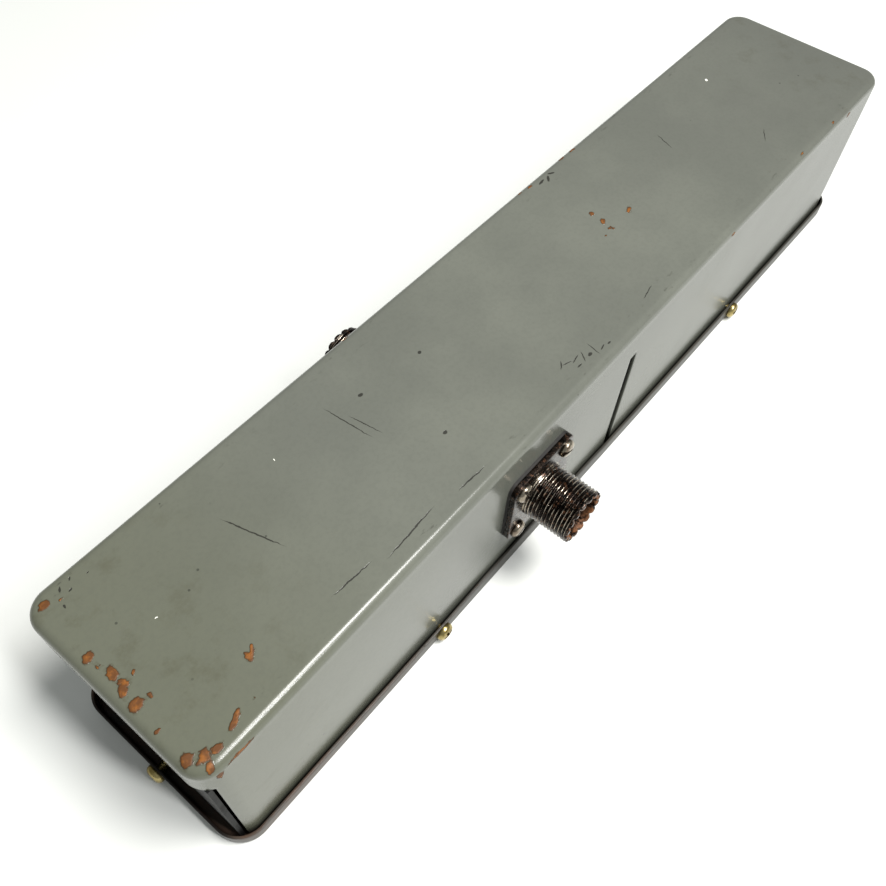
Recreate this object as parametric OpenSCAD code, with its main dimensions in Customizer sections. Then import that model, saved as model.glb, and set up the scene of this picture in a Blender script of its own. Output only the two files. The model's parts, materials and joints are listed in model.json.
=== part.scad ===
// Antenna tuner in a long, narrow sheet-steel box.
// X runs along the box from the plain end to the control end, Y from the output wall to the
// input wall, and Z up. The origin is the middle of the underside of the bottom tray.

/* [Case] */
// Length of the cover
case_l = 305; // [300:1:320]
// Width of the cover
case_w = 57.2; // [56.6:0.2:60]
// Height of the top face above the table
case_h = 57.4; // [57:0.2:62]
// Thickness of the steel sheet
sheet_t = 1.0; // [0.8:0.1:1.2]
// Plan radius of the cover's corners
corner_r = 6.5; // [6:0.5:8]
// Radius of the bend round the top face
bend_r = 1.8; // [1.5:0.1:2.5]
// Depth of the lip at each open end
lip_d = 10.5; // [8:0.5:11]
// Length by which the side walls stop short of the ends
wall_inset = 3.0; // [2:0.5:3.5]
// Height of the bottom tray's rim
rim_h = 6.0; // [6:0.5:8]
// Distance from the side walls out to the rim's outer face
rim_out_side = 1.5; // [1.5:0.1:2]
// Distance from the cover's ends out to the rim's outer face
rim_out_end = 1.8; // [1.8:0.1:2.5]

/* [Slot] */
// Place of the wall slot along the box
slot_x = 3.0; // [0:0.5:5]
// Width of the wall slot
slot_w = 3.0; // [2.5:0.1:3.5]
// Distance from the top face down to the slot
slot_drop = 12.4; // [10:0.2:14]

/* [Coax sockets] */
// Place of both sockets along the box
socket_x = -41; // [-44:1:-38]
// Height of the socket axes
socket_z = 32; // [30:0.5:34]
// Side of the square flange
flange_w = 25.4; // [25:0.1:26]
// Thickness of the flange
flange_t = 1.6; // [1.5:0.1:2]
// Spacing of the flange screws
flange_pitch = 18.2; // [18:0.1:18.4]
// Outer diameter of the threaded barrel
barrel_d = 15.88; // [15.8:0.01:15.9]
// Length of the barrel in front of the flange
barrel_l = 13.9; // [13:0.1:14]
// Diameter of the centre contact's hole
contact_bore = 4.0; // [3.9:0.05:4.1]

/* [Inductor] */
// Distance of the inductor's axis from the middle of the box
coil_y = 12; // [11.5:0.1:12.5]
// Radius of the ceramic former
former_r = 12; // [11.5:0.1:12]
// Diameter of the winding wire
wire_d = 1.6; // [1.5:0.1:1.7]
// Distance between turns
turn_pitch = 4; // [3.9:0.1:4]
// Number of turns
turns = 18; // [14:1:18]

/* [Capacitor] */
// Distance of the capacitor's axis from the middle of the box
cap_y = -14; // [-14:0.1:-13.5]
// Radius of the rotor plates
rotor_r = 12; // [11:0.2:12]
// Number of rotor plates
rotor_count = 9; // [7:1:9]
// Distance between rotor plates
plate_pitch = 4; // [3.6:0.1:4]
// Thickness of every plate
plate_t = 0.8; // [0.6:0.1:0.9]

/* [Controls] */
// Height of both control shafts
shaft_z = 30; // [29.5:0.5:30.5]
// Diameter of the control shafts
shaft_d = 6.35; // [6.3:0.05:6.4]
// Diameter of the knobs
knob_d = 20; // [18:0.5:21]
// Length of the knobs
knob_l = 14; // [12:0.5:15]

/* [Hidden] */
$fn = 48;
eps = 0.01;

// Case levels
wall_foot_z = 1.3;
wall_y = case_w / 2;
inner_y = wall_y - sheet_t;
end_x = case_l / 2;
tray_l = case_l + 2 * rim_out_end;
tray_w = case_w + 2 * rim_out_side;
tray_r = corner_r + rim_out_side;
tray_bend_r = 1.5;

// Pan-head screws: dome radius as a share of (radius squared + height squared) / height
pan_flatness = 0.59;
screw_over = 0.8;

// Tray screws
tray_screw_x = 79;
tray_screw_z = 3.3;
tray_screw_r = 1.5;
tray_hole_r = 1.7;
tray_head_r = 2.7;
tray_head_h = 2.0;
tray_screw_l = 7.5;
clinch_r = 2.0;
clinch_l = 2.4;

// Chassis
chassis_t = 1.2;
floor_z = 9.2;
chassis_gap = 0.3;
flange_y = inner_y - chassis_gap;
plate_x = end_x - sheet_t - chassis_gap;
plate_half_w = 23.4;
plate_top_z = 54;
shoulder_z = case_h - lip_d - 0.5;
plate_low_half_w = 26.8;
corner_relief = 4;

// Sockets
gasket_t = 0.8;
flange_corner_r = 3;
barrel_r = barrel_d / 2;
socket_hole_r = 8.2;
nut_hole_r = 10.2;
boss_l = 6;
shell_bore_r = 6.2;
insulator_front = 7;
contact_r = 2.7;
contact_front = 10;
contact_bore_back = -3;
contact_back = -5;
contact_tail_r = 1.3;
contact_tail_l = 12;
socket_screw_r = 1.4;
socket_hole_screw_r = 1.6;
socket_head_r = 2.6;
socket_head_h = 1.7;
socket_nut_r = 2.9;
socket_nut_h = 2.2;
output_back_y = -wall_y - gasket_t;
input_back_y = inner_y - flange_t;

// Divider and its grommet
divider_x = 8;
divider_t = 1.2;
divider_half_w = 26.5;
divider_top_z = 55;
grommet_z = 44;
grommet_lip_r = 5;
grommet_lip_t = 1;
grommet_hole_r = 4;
grommet_bore_r = 2.6;

// Terminal strip and fixed capacitor
strip_x = -90;
strip_w = 34;
strip_h = 9;
strip_z = 20;
strip_t = 1.6;
bracket_tab_half_w = 4;
lug_pitch = 7.5;
lug_count = 5;
lug_w = 3.6;
lug_t = 0.6;
lug_foot = 2;
lug_rise = 4;
lug_hole_r = 0.8;
rivet_r = 1;
block_x = -80;
block_l = 18;
block_w = 14;
block_h = 7;
block_z = 31;
block_corner_r = 1.5;
block_lead_r = 0.5;
block_lead_dy = 4;
block_lead_l = 4;

// Inductor
shaft_r = shaft_d / 2;
running_gap = 0.05;
shaft_tail = 2;
wire_r = wire_d / 2;
winding_r = former_r + wire_d;
coil_start_x = 70;
former_x0 = coil_start_x - 2;
former_l = turns * turn_pitch + 4;
former_bore_r = 9;
former_hub_l = 4;
bracket_t = 2;
rear_bracket_x = 63;
front_bracket_x = former_x0 + former_l + 0.5;
bracket_half_w = 13.2;
bracket_top_z = 54.5;
wheel_r = 4;
wheel_w = 3;
wheel_gap = 0.3;
rod_r = 2;
rod_z = shaft_z + winding_r + wheel_gap + wheel_r;
guide_r = 1.5;
guide_y = coil_y + 9;
guide_z = rod_z + 2.6;
carriage_x = coil_start_x + turn_pitch / 2;
cheek_t = 1.5;
cheek_gap = 0.2;
cheek_w = 17;
cheek_front = 4.5;
cheek_low = 3;
bridge_gap = 0.6;
bridge_t = 1.2;
wheel_bevel = 0.6;
wiper_t = 0.6;
wiper_w = 12;
collar_r = 6;
collar_l = 2;

// Capacitor
rear_plate_x = 14;
end_plate_t = 1.5;
first_rotor_x = 20.8;
front_plate_x = first_rotor_x + (rotor_count - 1) * plate_pitch + 5.2;
cap_half_w = 12.6;
cap_top_z = 52;
insulator_t = 3;
insulator_half_w = 11;
insulator_z0 = 42.7;
insulator_h = 5;
stator_half_w = 12;
stator_low = 0.6;
stator_top_z = 47.4;
stator_notch_r = 5.6;
stator_rod_r = 1.2;
stator_rod_dy = 8;
stator_rod_z = 45.2;
stator_hole_r = 2.4;
stator_rod_x0 = rear_plate_x - 1.5;
link_t = 0.8;
link_x = rear_bracket_x - 1 - link_t;
tie_r = 1.5;
tie_dy = 10.6;
tie_low_z = 13.8;
tie_top_z = 50;
tie_over = 1.5;
rotor_tail = 3.5;
rotor_wiper_l = 2.4;
rotor_wiper_w = 10;
hub_r = 5;
spacer_r = 4.6;

// Feet and their screws
foot_l = 6;
foot_t = 1.5;
foot_screw_r = 1.25;
foot_head_r = 2.4;
foot_head_h = 1.6;
foot_screw_l = 4;
foot_spots = concat(
    [for (x = [rear_bracket_x + bracket_t + foot_l / 2, front_bracket_x - foot_l / 2],
          dy = [-9, 9]) [x, coil_y + dy]],
    [for (x = [rear_plate_x + end_plate_t + foot_l / 2, front_plate_x - foot_l / 2],
          dy = [-6, 6]) [x, cap_y + dy]],
    [for (dy = [-18, 18]) [divider_x - foot_l / 2, dy]],
    [[strip_x + foot_l / 2, 0]]
);

// Controls
bushing_r = 4.6;
bushing_flange_r = 6;
bushing_flange_t = 1.5;
bushing_l = 4.6;
panel_nut_r = 7;
panel_nut_t = 2.2;
knob_x = plate_x + bushing_l + 0.4;
knob_skirt_l = 4;
knob_step = 1.4;
knob_cap_r = knob_d / 2 - knob_step;
knob_bore_l = 10;
set_screw_x = knob_x + 2;
set_screw_r = 1.5;
set_screw_l = 4.5;

// Leads
lead_r = 0.9;
lead_dy = 1.2;
bend_swell = 0.05;
lead_tail = 3;
sweep_x = socket_x + 16;
sweep_y = 6;
sweep_z = 40;
grommet_run = 6;
output_bend_x = divider_x + divider_t + grommet_lip_t + lead_r + 0.3;
input_bend = [front_plate_x - 4, 5, 41];
input_end_y = coil_y - 6;
input_end_z = 36.6;
link_w = 3;
link_end_r = 2.2;

// Rectangle with rounded corners, centred on the origin.
module rounded_rect(l, w, r) {
    square([l - 2 * r, w], center = true);
    square([l, w - 2 * r], center = true);
    for (sx = [-1, 1], sy = [-1, 1])
        translate([sx * (l / 2 - r), sy * (w / 2 - r)])
            circle(r);
}

// Upright section of a sheet-metal lid: square foot, bent top corners.
module bent_section(w, h, e) {
    translate([-w / 2, 0])
        square([w, h - e]);
    translate([-w / 2 + e, 0])
        square([w - 2 * e, h]);
    for (s = [-1, 1])
        translate([s * (w / 2 - e), h - e])
            circle(e);
}

// Solid lid shape: plan corners of radius r and a bend of radius e round the top.
module lid_block(l, w, h, r, e) {
    rotate([90, 0, 90])
        linear_extrude(l - 2 * r, center = true)
            bent_section(w, h, e);
    rotate([90, 0, 0])
        linear_extrude(w - 2 * r, center = true)
            bent_section(l, h, e);
    for (sx = [-1, 1], sy = [-1, 1])
        translate([sx * (l / 2 - r), sy * (w / 2 - r), 0])
            rotate_extrude() {
                square([r, h - e]);
                square([r - e, h]);
                translate([r - e, h - e])
                    circle(e);
            }
}

// Cylinder along X from x0, l long.
module x_rod(x0, l, r, y, z) {
    translate([x0, y, z])
        rotate([0, 90, 0])
            cylinder(h = l, r = r);
}

// Cylinder along Y from y0, l long.
module y_rod(y0, l, r, x, z) {
    translate([x, y0, z])
        rotate([-90, 0, 0])
            cylinder(h = l, r = r);
}

// Places children at the six tray screws, each turned so that its +X points outwards.
module at_tray_screws(reach_side, reach_end) {
    for (sx = [-1, 1], sy = [-1, 1])
        translate([sx * tray_screw_x, sy * reach_side, tray_screw_z])
            rotate([0, 0, sy * 90])
                children();
    for (sx = [-1, 1])
        translate([sx * reach_end, 0, tray_screw_z])
            rotate([0, 0, sx > 0 ? 0 : 180])
                children();
}

// Places children at the four flange screws of a socket, in the plane y = 0.
module at_socket_screws() {
    for (dx = [-1, 1], dz = [-1, 1])
        translate([socket_x + dx * flange_pitch / 2, 0, socket_z + dz * flange_pitch / 2])
            children();
}

// A wire run: straight lengths joined by ball corners.
module lead(points, r) {
    for (i = [0 : len(points) - 2]) {
        run = points[i + 1] - points[i];
        translate(points[i])
            rotate([0, acos(run.z / norm(run)), atan2(run.y, run.x)])
                cylinder(h = norm(run), r = r);
    }
    for (i = [1 : len(points) - 2])
        translate(points[i])
            sphere(r + bend_swell);
}

module top_cover() {
    height = case_h - wall_foot_z;
    color([0.50, 0.51, 0.47])
        difference() {
            translate([0, 0, wall_foot_z])
                lid_block(case_l, case_w, height, corner_r, bend_r);
            translate([0, 0, wall_foot_z - eps])
                lid_block(case_l - 2 * sheet_t, case_w - 2 * sheet_t,
                          height - sheet_t + eps, corner_r - sheet_t, bend_r - sheet_t);
            for (s = [-1, 1])
                translate([s * (end_x - wall_inset / 2 + eps), 0, (case_h - lip_d) / 2])
                    cube([wall_inset + 4 * eps, case_w + 1, case_h - lip_d], center = true);
            translate([slot_x - slot_w / 2, -wall_y - 1, 0])
                cube([slot_w, sheet_t + 2, case_h - slot_drop]);
            y_rod(-wall_y - 1, sheet_t + 2, socket_hole_r, socket_x, socket_z);
            y_rod(wall_y - sheet_t - 1, sheet_t + 2, nut_hole_r, socket_x, socket_z);
            at_socket_screws()
                y_rod(-wall_y - 1, case_w + 2, socket_hole_screw_r, 0, 0);
            for (s = [-1, 1])
                y_rod(-wall_y - 1, case_w + 2, tray_hole_r, s * tray_screw_x, tray_screw_z);
        }
}

module bottom_tray() {
    color([0.47, 0.47, 0.44])
        difference() {
            translate([0, 0, rim_h])
                mirror([0, 0, 1])
                    lid_block(tray_l, tray_w, rim_h, tray_r, tray_bend_r);
            translate([0, 0, rim_h + eps])
                mirror([0, 0, 1])
                    lid_block(tray_l - 2 * sheet_t, tray_w - 2 * sheet_t,
                              rim_h - sheet_t + eps, tray_r - sheet_t,
                              tray_bend_r - sheet_t);
            at_tray_screws(tray_w / 2, tray_l / 2)
                x_rod(-2, 4, tray_hole_r, 0, 0);
        }
}

module tray_screws() {
    color([0.72, 0.62, 0.36])
        at_tray_screws(tray_w / 2, tray_l / 2)
            rotate([0, 90, 0])
                pan_screw(tray_head_r, tray_head_h, tray_screw_r, tray_screw_l);
}

module clinch_nuts() {
    color([0.70, 0.70, 0.72])
        at_tray_screws(flange_y - chassis_t, plate_x - chassis_t)
            difference() {
                x_rod(-clinch_l, clinch_l, clinch_r, 0, 0);
                x_rod(-clinch_l - 1, clinch_l + 2, tray_screw_r, 0, 0);
            }
}

module chassis() {
    full_l = 2 * plate_x;
    color([0.10, 0.10, 0.10])
        difference() {
            union() {
                translate([-plate_x, -plate_half_w, floor_z - chassis_t])
                    cube([full_l, 2 * plate_half_w, chassis_t]);
                translate([-plate_x + corner_relief, -flange_y, floor_z - chassis_t])
                    cube([full_l - 2 * corner_relief, 2 * flange_y, chassis_t]);
                for (s = [-1, 1])
                    translate([-plate_x + corner_relief,
                               s * (flange_y - chassis_t / 2) - chassis_t / 2, wall_foot_z])
                        cube([full_l - 2 * corner_relief, chassis_t, floor_z - wall_foot_z]);
                for (s = [-1, 1]) {
                    translate([s * (plate_x - chassis_t / 2) - chassis_t / 2, -plate_half_w,
                               wall_foot_z])
                        cube([chassis_t, 2 * plate_half_w, plate_top_z - wall_foot_z]);
                    translate([s * (plate_x - chassis_t / 2) - chassis_t / 2,
                               -plate_low_half_w, wall_foot_z])
                        cube([chassis_t, 2 * plate_low_half_w, shoulder_z - wall_foot_z]);
                }
            }
            at_tray_screws(flange_y, plate_x)
                x_rod(-2, 4, tray_screw_r + 0.1, 0, 0);
            for (y = [coil_y, cap_y])
                x_rod(plate_x - 3, 6, bushing_r, y, shaft_z);
            for (p = foot_spots)
                translate([p.x, p.y, 0])
                    cylinder(h = floor_z + 1, r = foot_screw_r);
        }
}

// Pan-head screw: the head stands on z = 0 and the shank goes down.
module pan_screw(head_r, head_h, shank_r, shank_l) {
    dome_r = pan_flatness * (head_r * head_r + head_h * head_h) / head_h;
    rotate_extrude()
        intersection() {
            square([head_r, head_h]);
            translate([0, head_h - dome_r])
                circle(dome_r);
        }
    translate([0, 0, -shank_l])
        cylinder(h = shank_l + head_h / 4, r = shank_r);
}

// Turns a socket piece, built along +Z from the flange's back face, to point out of its wall.
module on_output_wall() {
    translate([socket_x, output_back_y, socket_z])
        rotate([90, 0, 0])
            children();
}

module on_input_wall() {
    translate([socket_x, input_back_y, socket_z])
        rotate([-90, 0, 0])
            children();
}

// Places children at a flange's four screws.
module at_flange_screws() {
    for (dx = [-1, 1], dy = [-1, 1])
        translate([dx * flange_pitch / 2, dy * flange_pitch / 2, 0])
            children();
}

module socket_shell() {
    color([0.24, 0.21, 0.18])
        difference() {
            union() {
                linear_extrude(flange_t)
                    rounded_rect(flange_w, flange_w, flange_corner_r);
                translate([0, 0, -boss_l])
                    cylinder(h = boss_l + flange_t + barrel_l, r = barrel_r);
            }
            translate([0, 0, -boss_l - 1])
                cylinder(h = boss_l + flange_t + barrel_l + 2, r = shell_bore_r);
            at_flange_screws()
                translate([0, 0, -1])
                    cylinder(h = flange_t + 2, r = socket_hole_screw_r);
        }
}

module socket_insulator() {
    color([0.36, 0.20, 0.10])
        difference() {
            translate([0, 0, -boss_l])
                cylinder(h = boss_l + insulator_front, r = shell_bore_r);
            translate([0, 0, contact_back])
                cylinder(h = boss_l + insulator_front, r = contact_r);
            translate([0, 0, -boss_l - 1])
                cylinder(h = boss_l, r = contact_tail_r);
        }
}

module socket_contact() {
    color([0.74, 0.66, 0.42])
        difference() {
            union() {
                translate([0, 0, contact_back])
                    cylinder(h = contact_front - contact_back, r = contact_r);
                translate([0, 0, -contact_tail_l])
                    cylinder(h = contact_tail_l, r = contact_tail_r);
            }
            translate([0, 0, contact_bore_back])
                cylinder(h = contact_front - contact_bore_back + 1, r = contact_bore / 2);
        }
}

// Four screws whose heads stand at height z.
module socket_screws(z, shank_l) {
    color([0.62, 0.60, 0.56])
        at_flange_screws()
            translate([0, 0, z])
                pan_screw(socket_head_r, socket_head_h, socket_screw_r, shank_l);
}

// Four nuts whose near faces are at height z.
module socket_nuts(z) {
    color([0.62, 0.60, 0.56])
        at_flange_screws()
            translate([0, 0, z - socket_nut_h])
                difference() {
                    cylinder(h = socket_nut_h, r = socket_nut_r, $fn = 6);
                    translate([0, 0, -1])
                        cylinder(h = socket_nut_h + 2, r = socket_screw_r);
                }
}

module output_shell() {
    on_output_wall()
        socket_shell();
}

module output_gasket() {
    color([0.07, 0.07, 0.07])
        on_output_wall()
            translate([0, 0, -gasket_t])
                linear_extrude(gasket_t)
                    difference() {
                        rounded_rect(flange_w, flange_w, flange_corner_r);
                        circle(socket_hole_r);
                        at_flange_screws()
                            circle(socket_hole_screw_r);
                    }
}

module output_insulator() {
    on_output_wall()
        socket_insulator();
}

module output_contact() {
    on_output_wall()
        socket_contact();
}

module output_screws() {
    on_output_wall()
        socket_screws(flange_t, flange_t + gasket_t + sheet_t + socket_nut_h + screw_over);
}

module output_nuts() {
    on_output_wall()
        socket_nuts(-gasket_t - sheet_t);
}

module input_shell() {
    on_input_wall()
        socket_shell();
}

module input_insulator() {
    on_input_wall()
        socket_insulator();
}

module input_contact() {
    on_input_wall()
        socket_contact();
}

module input_screws() {
    on_input_wall()
        socket_screws(flange_t + sheet_t, flange_t + sheet_t + socket_nut_h + screw_over);
}

module input_nuts() {
    on_input_wall()
        socket_nuts(0);
}

// Plate standing on the chassis floor across the box, with a foot to one side of it.
module standing_plate(x, t, y, half_w, top_z, foot_dir) {
    translate([x, y - half_w, floor_z])
        cube([t, 2 * half_w, top_z - floor_z]);
    translate([foot_dir > 0 ? x : x + t - foot_l - t, y - half_w, floor_z])
        cube([foot_l + t, 2 * half_w, foot_t]);
}

module foot_holes() {
    for (p = foot_spots)
        translate([p.x, p.y, floor_z - 1])
            cylinder(h = foot_t + 2, r = foot_screw_r);
}

module foot_screws() {
    color([0.62, 0.60, 0.56])
        for (p = foot_spots)
            translate([p.x, p.y, floor_z + foot_t])
                pan_screw(foot_head_r, foot_head_h, foot_screw_r, foot_screw_l);
}

module divider() {
    color([0.74, 0.74, 0.75])
        difference() {
            standing_plate(divider_x, divider_t, 0, divider_half_w, divider_top_z, -1);
            x_rod(divider_x - 1, divider_t + 2, grommet_hole_r, 0, grommet_z);
            foot_holes();
        }
}

module grommet() {
    color([0.06, 0.06, 0.06])
        difference() {
            union() {
                x_rod(divider_x, divider_t, grommet_hole_r, 0, grommet_z);
                for (x = [divider_x - grommet_lip_t, divider_x + divider_t])
                    x_rod(x, grommet_lip_t, grommet_lip_r, 0, grommet_z);
            }
            x_rod(divider_x - 3, divider_t + 6, grommet_bore_r, 0, grommet_z);
        }
}

module strip_bracket() {
    color([0.66, 0.66, 0.66])
        difference() {
            standing_plate(strip_x - sheet_t, sheet_t, 0, bracket_tab_half_w,
                           strip_z + strip_h, 1);
            foot_holes();
        }
}

module terminal_strip() {
    color([0.40, 0.24, 0.12])
        difference() {
            translate([strip_x, -strip_w / 2, strip_z])
                cube([strip_t, strip_w, strip_h]);
            for (i = [0 : lug_count - 1])
                x_rod(strip_x - 1, strip_t + 2, rivet_r, lug_y(i), strip_z + strip_h / 2);
        }
}

function lug_y(i) = (i - (lug_count - 1) / 2) * lug_pitch;

module strip_lugs() {
    color([0.78, 0.78, 0.76])
        for (i = [0 : lug_count - 1]) {
            x_rod(strip_x, strip_t, rivet_r, lug_y(i), strip_z + strip_h / 2);
            difference() {
                translate([strip_x + strip_t, lug_y(i) - lug_w / 2, strip_z + lug_foot])
                    cube([lug_t, lug_w, strip_h + lug_rise]);
                x_rod(strip_x, 2 * strip_t + lug_t, lug_hole_r, lug_y(i),
                      strip_z + strip_h + lug_rise);
            }
        }
}

module fixed_capacitor() {
    color([0.45, 0.22, 0.12])
        union() {
            translate([block_x, 0, block_z])
                rotate([90, 0, 90])
                    linear_extrude(block_l)
                        rounded_rect(block_w, block_h, block_corner_r);
            for (s = [-1, 1])
                lead([[block_x + 1, s * block_lead_dy, block_z],
                      [block_x - block_lead_l, s * block_lead_dy, block_z],
                      [block_x - block_lead_l, s * lug_pitch, block_z],
                      [strip_x + strip_t + lug_t, s * lug_pitch, block_z]], block_lead_r);
        }
}

module input_lead() {
    start_y = input_back_y - contact_tail_l;
    color([0.70, 0.40, 0.22])
        lead([[socket_x, start_y, socket_z], [socket_x, start_y - lead_tail, socket_z],
              [sweep_x, sweep_y, sweep_z], [divider_x - grommet_run, lead_dy, grommet_z],
              [divider_x + grommet_run, lead_dy, grommet_z], input_bend,
              [rear_bracket_x - lead_tail, input_end_y, input_end_z],
              [rear_bracket_x, input_end_y, input_end_z]],
             lead_r);
}

module output_lead() {
    start_y = output_back_y + contact_tail_l;
    end_y = cap_y + stator_rod_dy;
    color([0.70, 0.40, 0.22])
        lead([[socket_x, start_y, socket_z], [socket_x, start_y + lead_tail, socket_z],
              [sweep_x, -sweep_y, sweep_z], [divider_x - grommet_run, -lead_dy, grommet_z],
              [output_bend_x, -lead_dy, grommet_z], [output_bend_x, end_y, stator_rod_z],
              [stator_rod_x0, end_y, stator_rod_z]],
             lead_r);
}

// Flat copper link from a stator rod to the contact rod.
module roller_lead() {
    rod_y = cap_y + stator_rod_dy;
    run = [coil_y - rod_y, rod_z - stator_rod_z];
    color([0.70, 0.40, 0.22])
        translate([link_x, 0, 0])
            rotate([90, 0, 90])
                linear_extrude(link_t) {
                    for (p = [[rod_y, stator_rod_z], [coil_y, rod_z]])
                        translate(p)
                            circle(link_end_r);
                    translate([rod_y, stator_rod_z])
                        rotate(atan2(run.y, run.x))
                            translate([0, -link_w / 2])
                                square([norm(run), link_w]);
                }
}

// Holes that both inductor brackets share.
module bracket_holes(x) {
    x_rod(x - 1, bracket_t + 2, shaft_r + running_gap, coil_y, shaft_z);
    x_rod(x - 1, bracket_t + 2, rod_r, coil_y, rod_z);
    x_rod(x - 1, bracket_t + 2, guide_r, guide_y, guide_z);
}

module coil_rear_bracket() {
    color([0.42, 0.26, 0.14])
        difference() {
            standing_plate(rear_bracket_x, bracket_t, coil_y, bracket_half_w,
                           bracket_top_z, 1);
            bracket_holes(rear_bracket_x);
            foot_holes();
            x_rod(rear_bracket_x - 1, bracket_t + 2, lead_r, input_end_y, input_end_z);
        }
}

module coil_front_bracket() {
    color([0.42, 0.26, 0.14])
        difference() {
            standing_plate(front_bracket_x, bracket_t, coil_y, bracket_half_w,
                           bracket_top_z, -1);
            bracket_holes(front_bracket_x);
            foot_holes();
        }
}

module coil_former() {
    color([0.90, 0.88, 0.82])
        difference() {
            x_rod(former_x0, former_l, former_r, coil_y, shaft_z);
            x_rod(former_x0 - 1, former_l + 2, shaft_r, coil_y, shaft_z);
            x_rod(former_x0 + former_hub_l, former_l - 2 * former_hub_l, former_bore_r,
                  coil_y, shaft_z);
        }
}

module coil_winding() {
    color([0.72, 0.42, 0.24])
        for (i = [0 : turns - 1])
            translate([coil_start_x + i * turn_pitch, coil_y, shaft_z])
                rotate([0, 90, 0])
                    rotate_extrude()
                        translate([former_r + wire_r, 0])
                            circle(wire_r);
}

module coil_shaft() {
    color([0.70, 0.70, 0.72])
        x_rod(rear_bracket_x - shaft_tail, knob_x + knob_bore_l - rear_bracket_x + shaft_tail,
              shaft_r, coil_y, shaft_z);
}

module coil_collar() {
    color([0.76, 0.64, 0.34])
        difference() {
            x_rod(former_x0 - collar_l - 0.4, collar_l, collar_r, coil_y, shaft_z);
            x_rod(former_x0 - collar_l - 1, collar_l + 2, shaft_r, coil_y, shaft_z);
        }
}

module coil_wiper() {
    top_z = shaft_z + collar_r + wheel_gap;
    color([0.76, 0.64, 0.34])
        translate([rear_bracket_x + bracket_t, coil_y - wiper_w / 2, top_z])
            cube([collar_l + wiper_t, wiper_w, wiper_t]);
}

module contact_rod() {
    color([0.78, 0.70, 0.46])
        x_rod(rear_bracket_x - 1, front_bracket_x - rear_bracket_x + bracket_t + 2, rod_r,
              coil_y, rod_z);
}

module guide_rod() {
    color([0.70, 0.70, 0.72])
        x_rod(rear_bracket_x - 1, front_bracket_x - rear_bracket_x + bracket_t + 2, guide_r,
              guide_y, guide_z);
}

module contact_carriage() {
    half_gap = wheel_w / 2 + cheek_gap;
    top = rod_z + wheel_r + bridge_gap;
    color([0.76, 0.64, 0.34])
        difference() {
            union() {
                for (s = [-1, 1])
                    translate([carriage_x + s * (half_gap + cheek_t / 2) - cheek_t / 2,
                               coil_y - cheek_front, rod_z - cheek_low])
                        cube([cheek_t, cheek_w, top + bridge_t - rod_z + cheek_low]);
                translate([carriage_x - half_gap - cheek_t, coil_y - cheek_front, top])
                    cube([2 * (half_gap + cheek_t), 2 * cheek_front, bridge_t]);
            }
            x_rod(carriage_x - 5, 10, rod_r + running_gap, coil_y, rod_z);
            x_rod(carriage_x - 5, 10, guide_r + running_gap, guide_y, guide_z);
        }
}

module contact_wheel() {
    color([0.80, 0.74, 0.55])
        translate([carriage_x, coil_y, rod_z])
            rotate([0, 90, 0])
                rotate_extrude()
                    polygon([
                        [rod_r + running_gap, -wheel_w / 2],
                        [wheel_r - wheel_bevel, -wheel_w / 2],
                        [wheel_r, -wheel_w / 2 + wheel_bevel],
                        [wheel_r, wheel_w / 2 - wheel_bevel],
                        [wheel_r - wheel_bevel, wheel_w / 2],
                        [rod_r + running_gap, wheel_w / 2]
                    ]);
}

// Capacitor end plate with its foot, bearing hole and rod holes.
module capacitor_end_plate(x, foot_dir) {
    color([0.74, 0.74, 0.75])
        difference() {
            standing_plate(x, end_plate_t, cap_y, cap_half_w, cap_top_z, foot_dir);
            x_rod(x - 1, end_plate_t + 2, shaft_r + running_gap, cap_y, shaft_z);
            for (p = tie_spots())
                x_rod(x - 1, end_plate_t + 2, tie_r, p.x, p.y);
            for (s = [-1, 1])
                x_rod(x - 1, end_plate_t + 2, stator_hole_r, cap_y + s * stator_rod_dy,
                      stator_rod_z);
            foot_holes();
        }
}

function tie_spots() = [
    [cap_y - tie_dy, tie_low_z],
    [cap_y + tie_dy, tie_low_z],
    [cap_y, tie_top_z]
];

module capacitor_rear_plate() {
    capacitor_end_plate(rear_plate_x, 1);
}

module capacitor_front_plate() {
    capacitor_end_plate(front_plate_x, -1);
}

module capacitor_tie_rods() {
    color([0.70, 0.70, 0.72])
        for (p = tie_spots())
            x_rod(rear_plate_x - tie_over,
                  front_plate_x - rear_plate_x + end_plate_t + 2 * tie_over, tie_r,
                  p.x, p.y);
}

module stator_insulators() {
    color([0.90, 0.88, 0.82])
        for (x = [rear_plate_x + end_plate_t, front_plate_x - insulator_t])
            difference() {
                translate([x, cap_y - insulator_half_w, insulator_z0])
                    cube([insulator_t, 2 * insulator_half_w, insulator_h]);
                for (s = [-1, 1])
                    x_rod(x - 1, insulator_t + 2, stator_rod_r, cap_y + s * stator_rod_dy,
                          stator_rod_z);
            }
}

module stator_rods() {
    color([0.76, 0.64, 0.34])
        for (s = [-1, 1])
            x_rod(stator_rod_x0, link_x - stator_rod_x0, stator_rod_r,
                  cap_y + s * stator_rod_dy, stator_rod_z);
}

module stator_plates() {
    color([0.80, 0.81, 0.82])
        for (i = [0 : rotor_count - 2])
            translate([first_rotor_x + (i + 0.5) * plate_pitch, cap_y, 0])
                rotate([90, 0, 90])
                    linear_extrude(plate_t)
                        difference() {
                            translate([-stator_half_w, shaft_z + stator_low])
                                square([2 * stator_half_w,
                                        stator_top_z - shaft_z - stator_low]);
                            translate([0, shaft_z])
                                circle(stator_notch_r);
                            for (s = [-1, 1])
                                translate([s * stator_rod_dy, stator_rod_z])
                                    circle(stator_rod_r);
                        }
}

module rotor_shaft() {
    color([0.70, 0.70, 0.72])
        x_rod(rear_plate_x - rotor_tail, knob_x + knob_bore_l - rear_plate_x + rotor_tail, shaft_r,
              cap_y, shaft_z);
}

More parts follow.
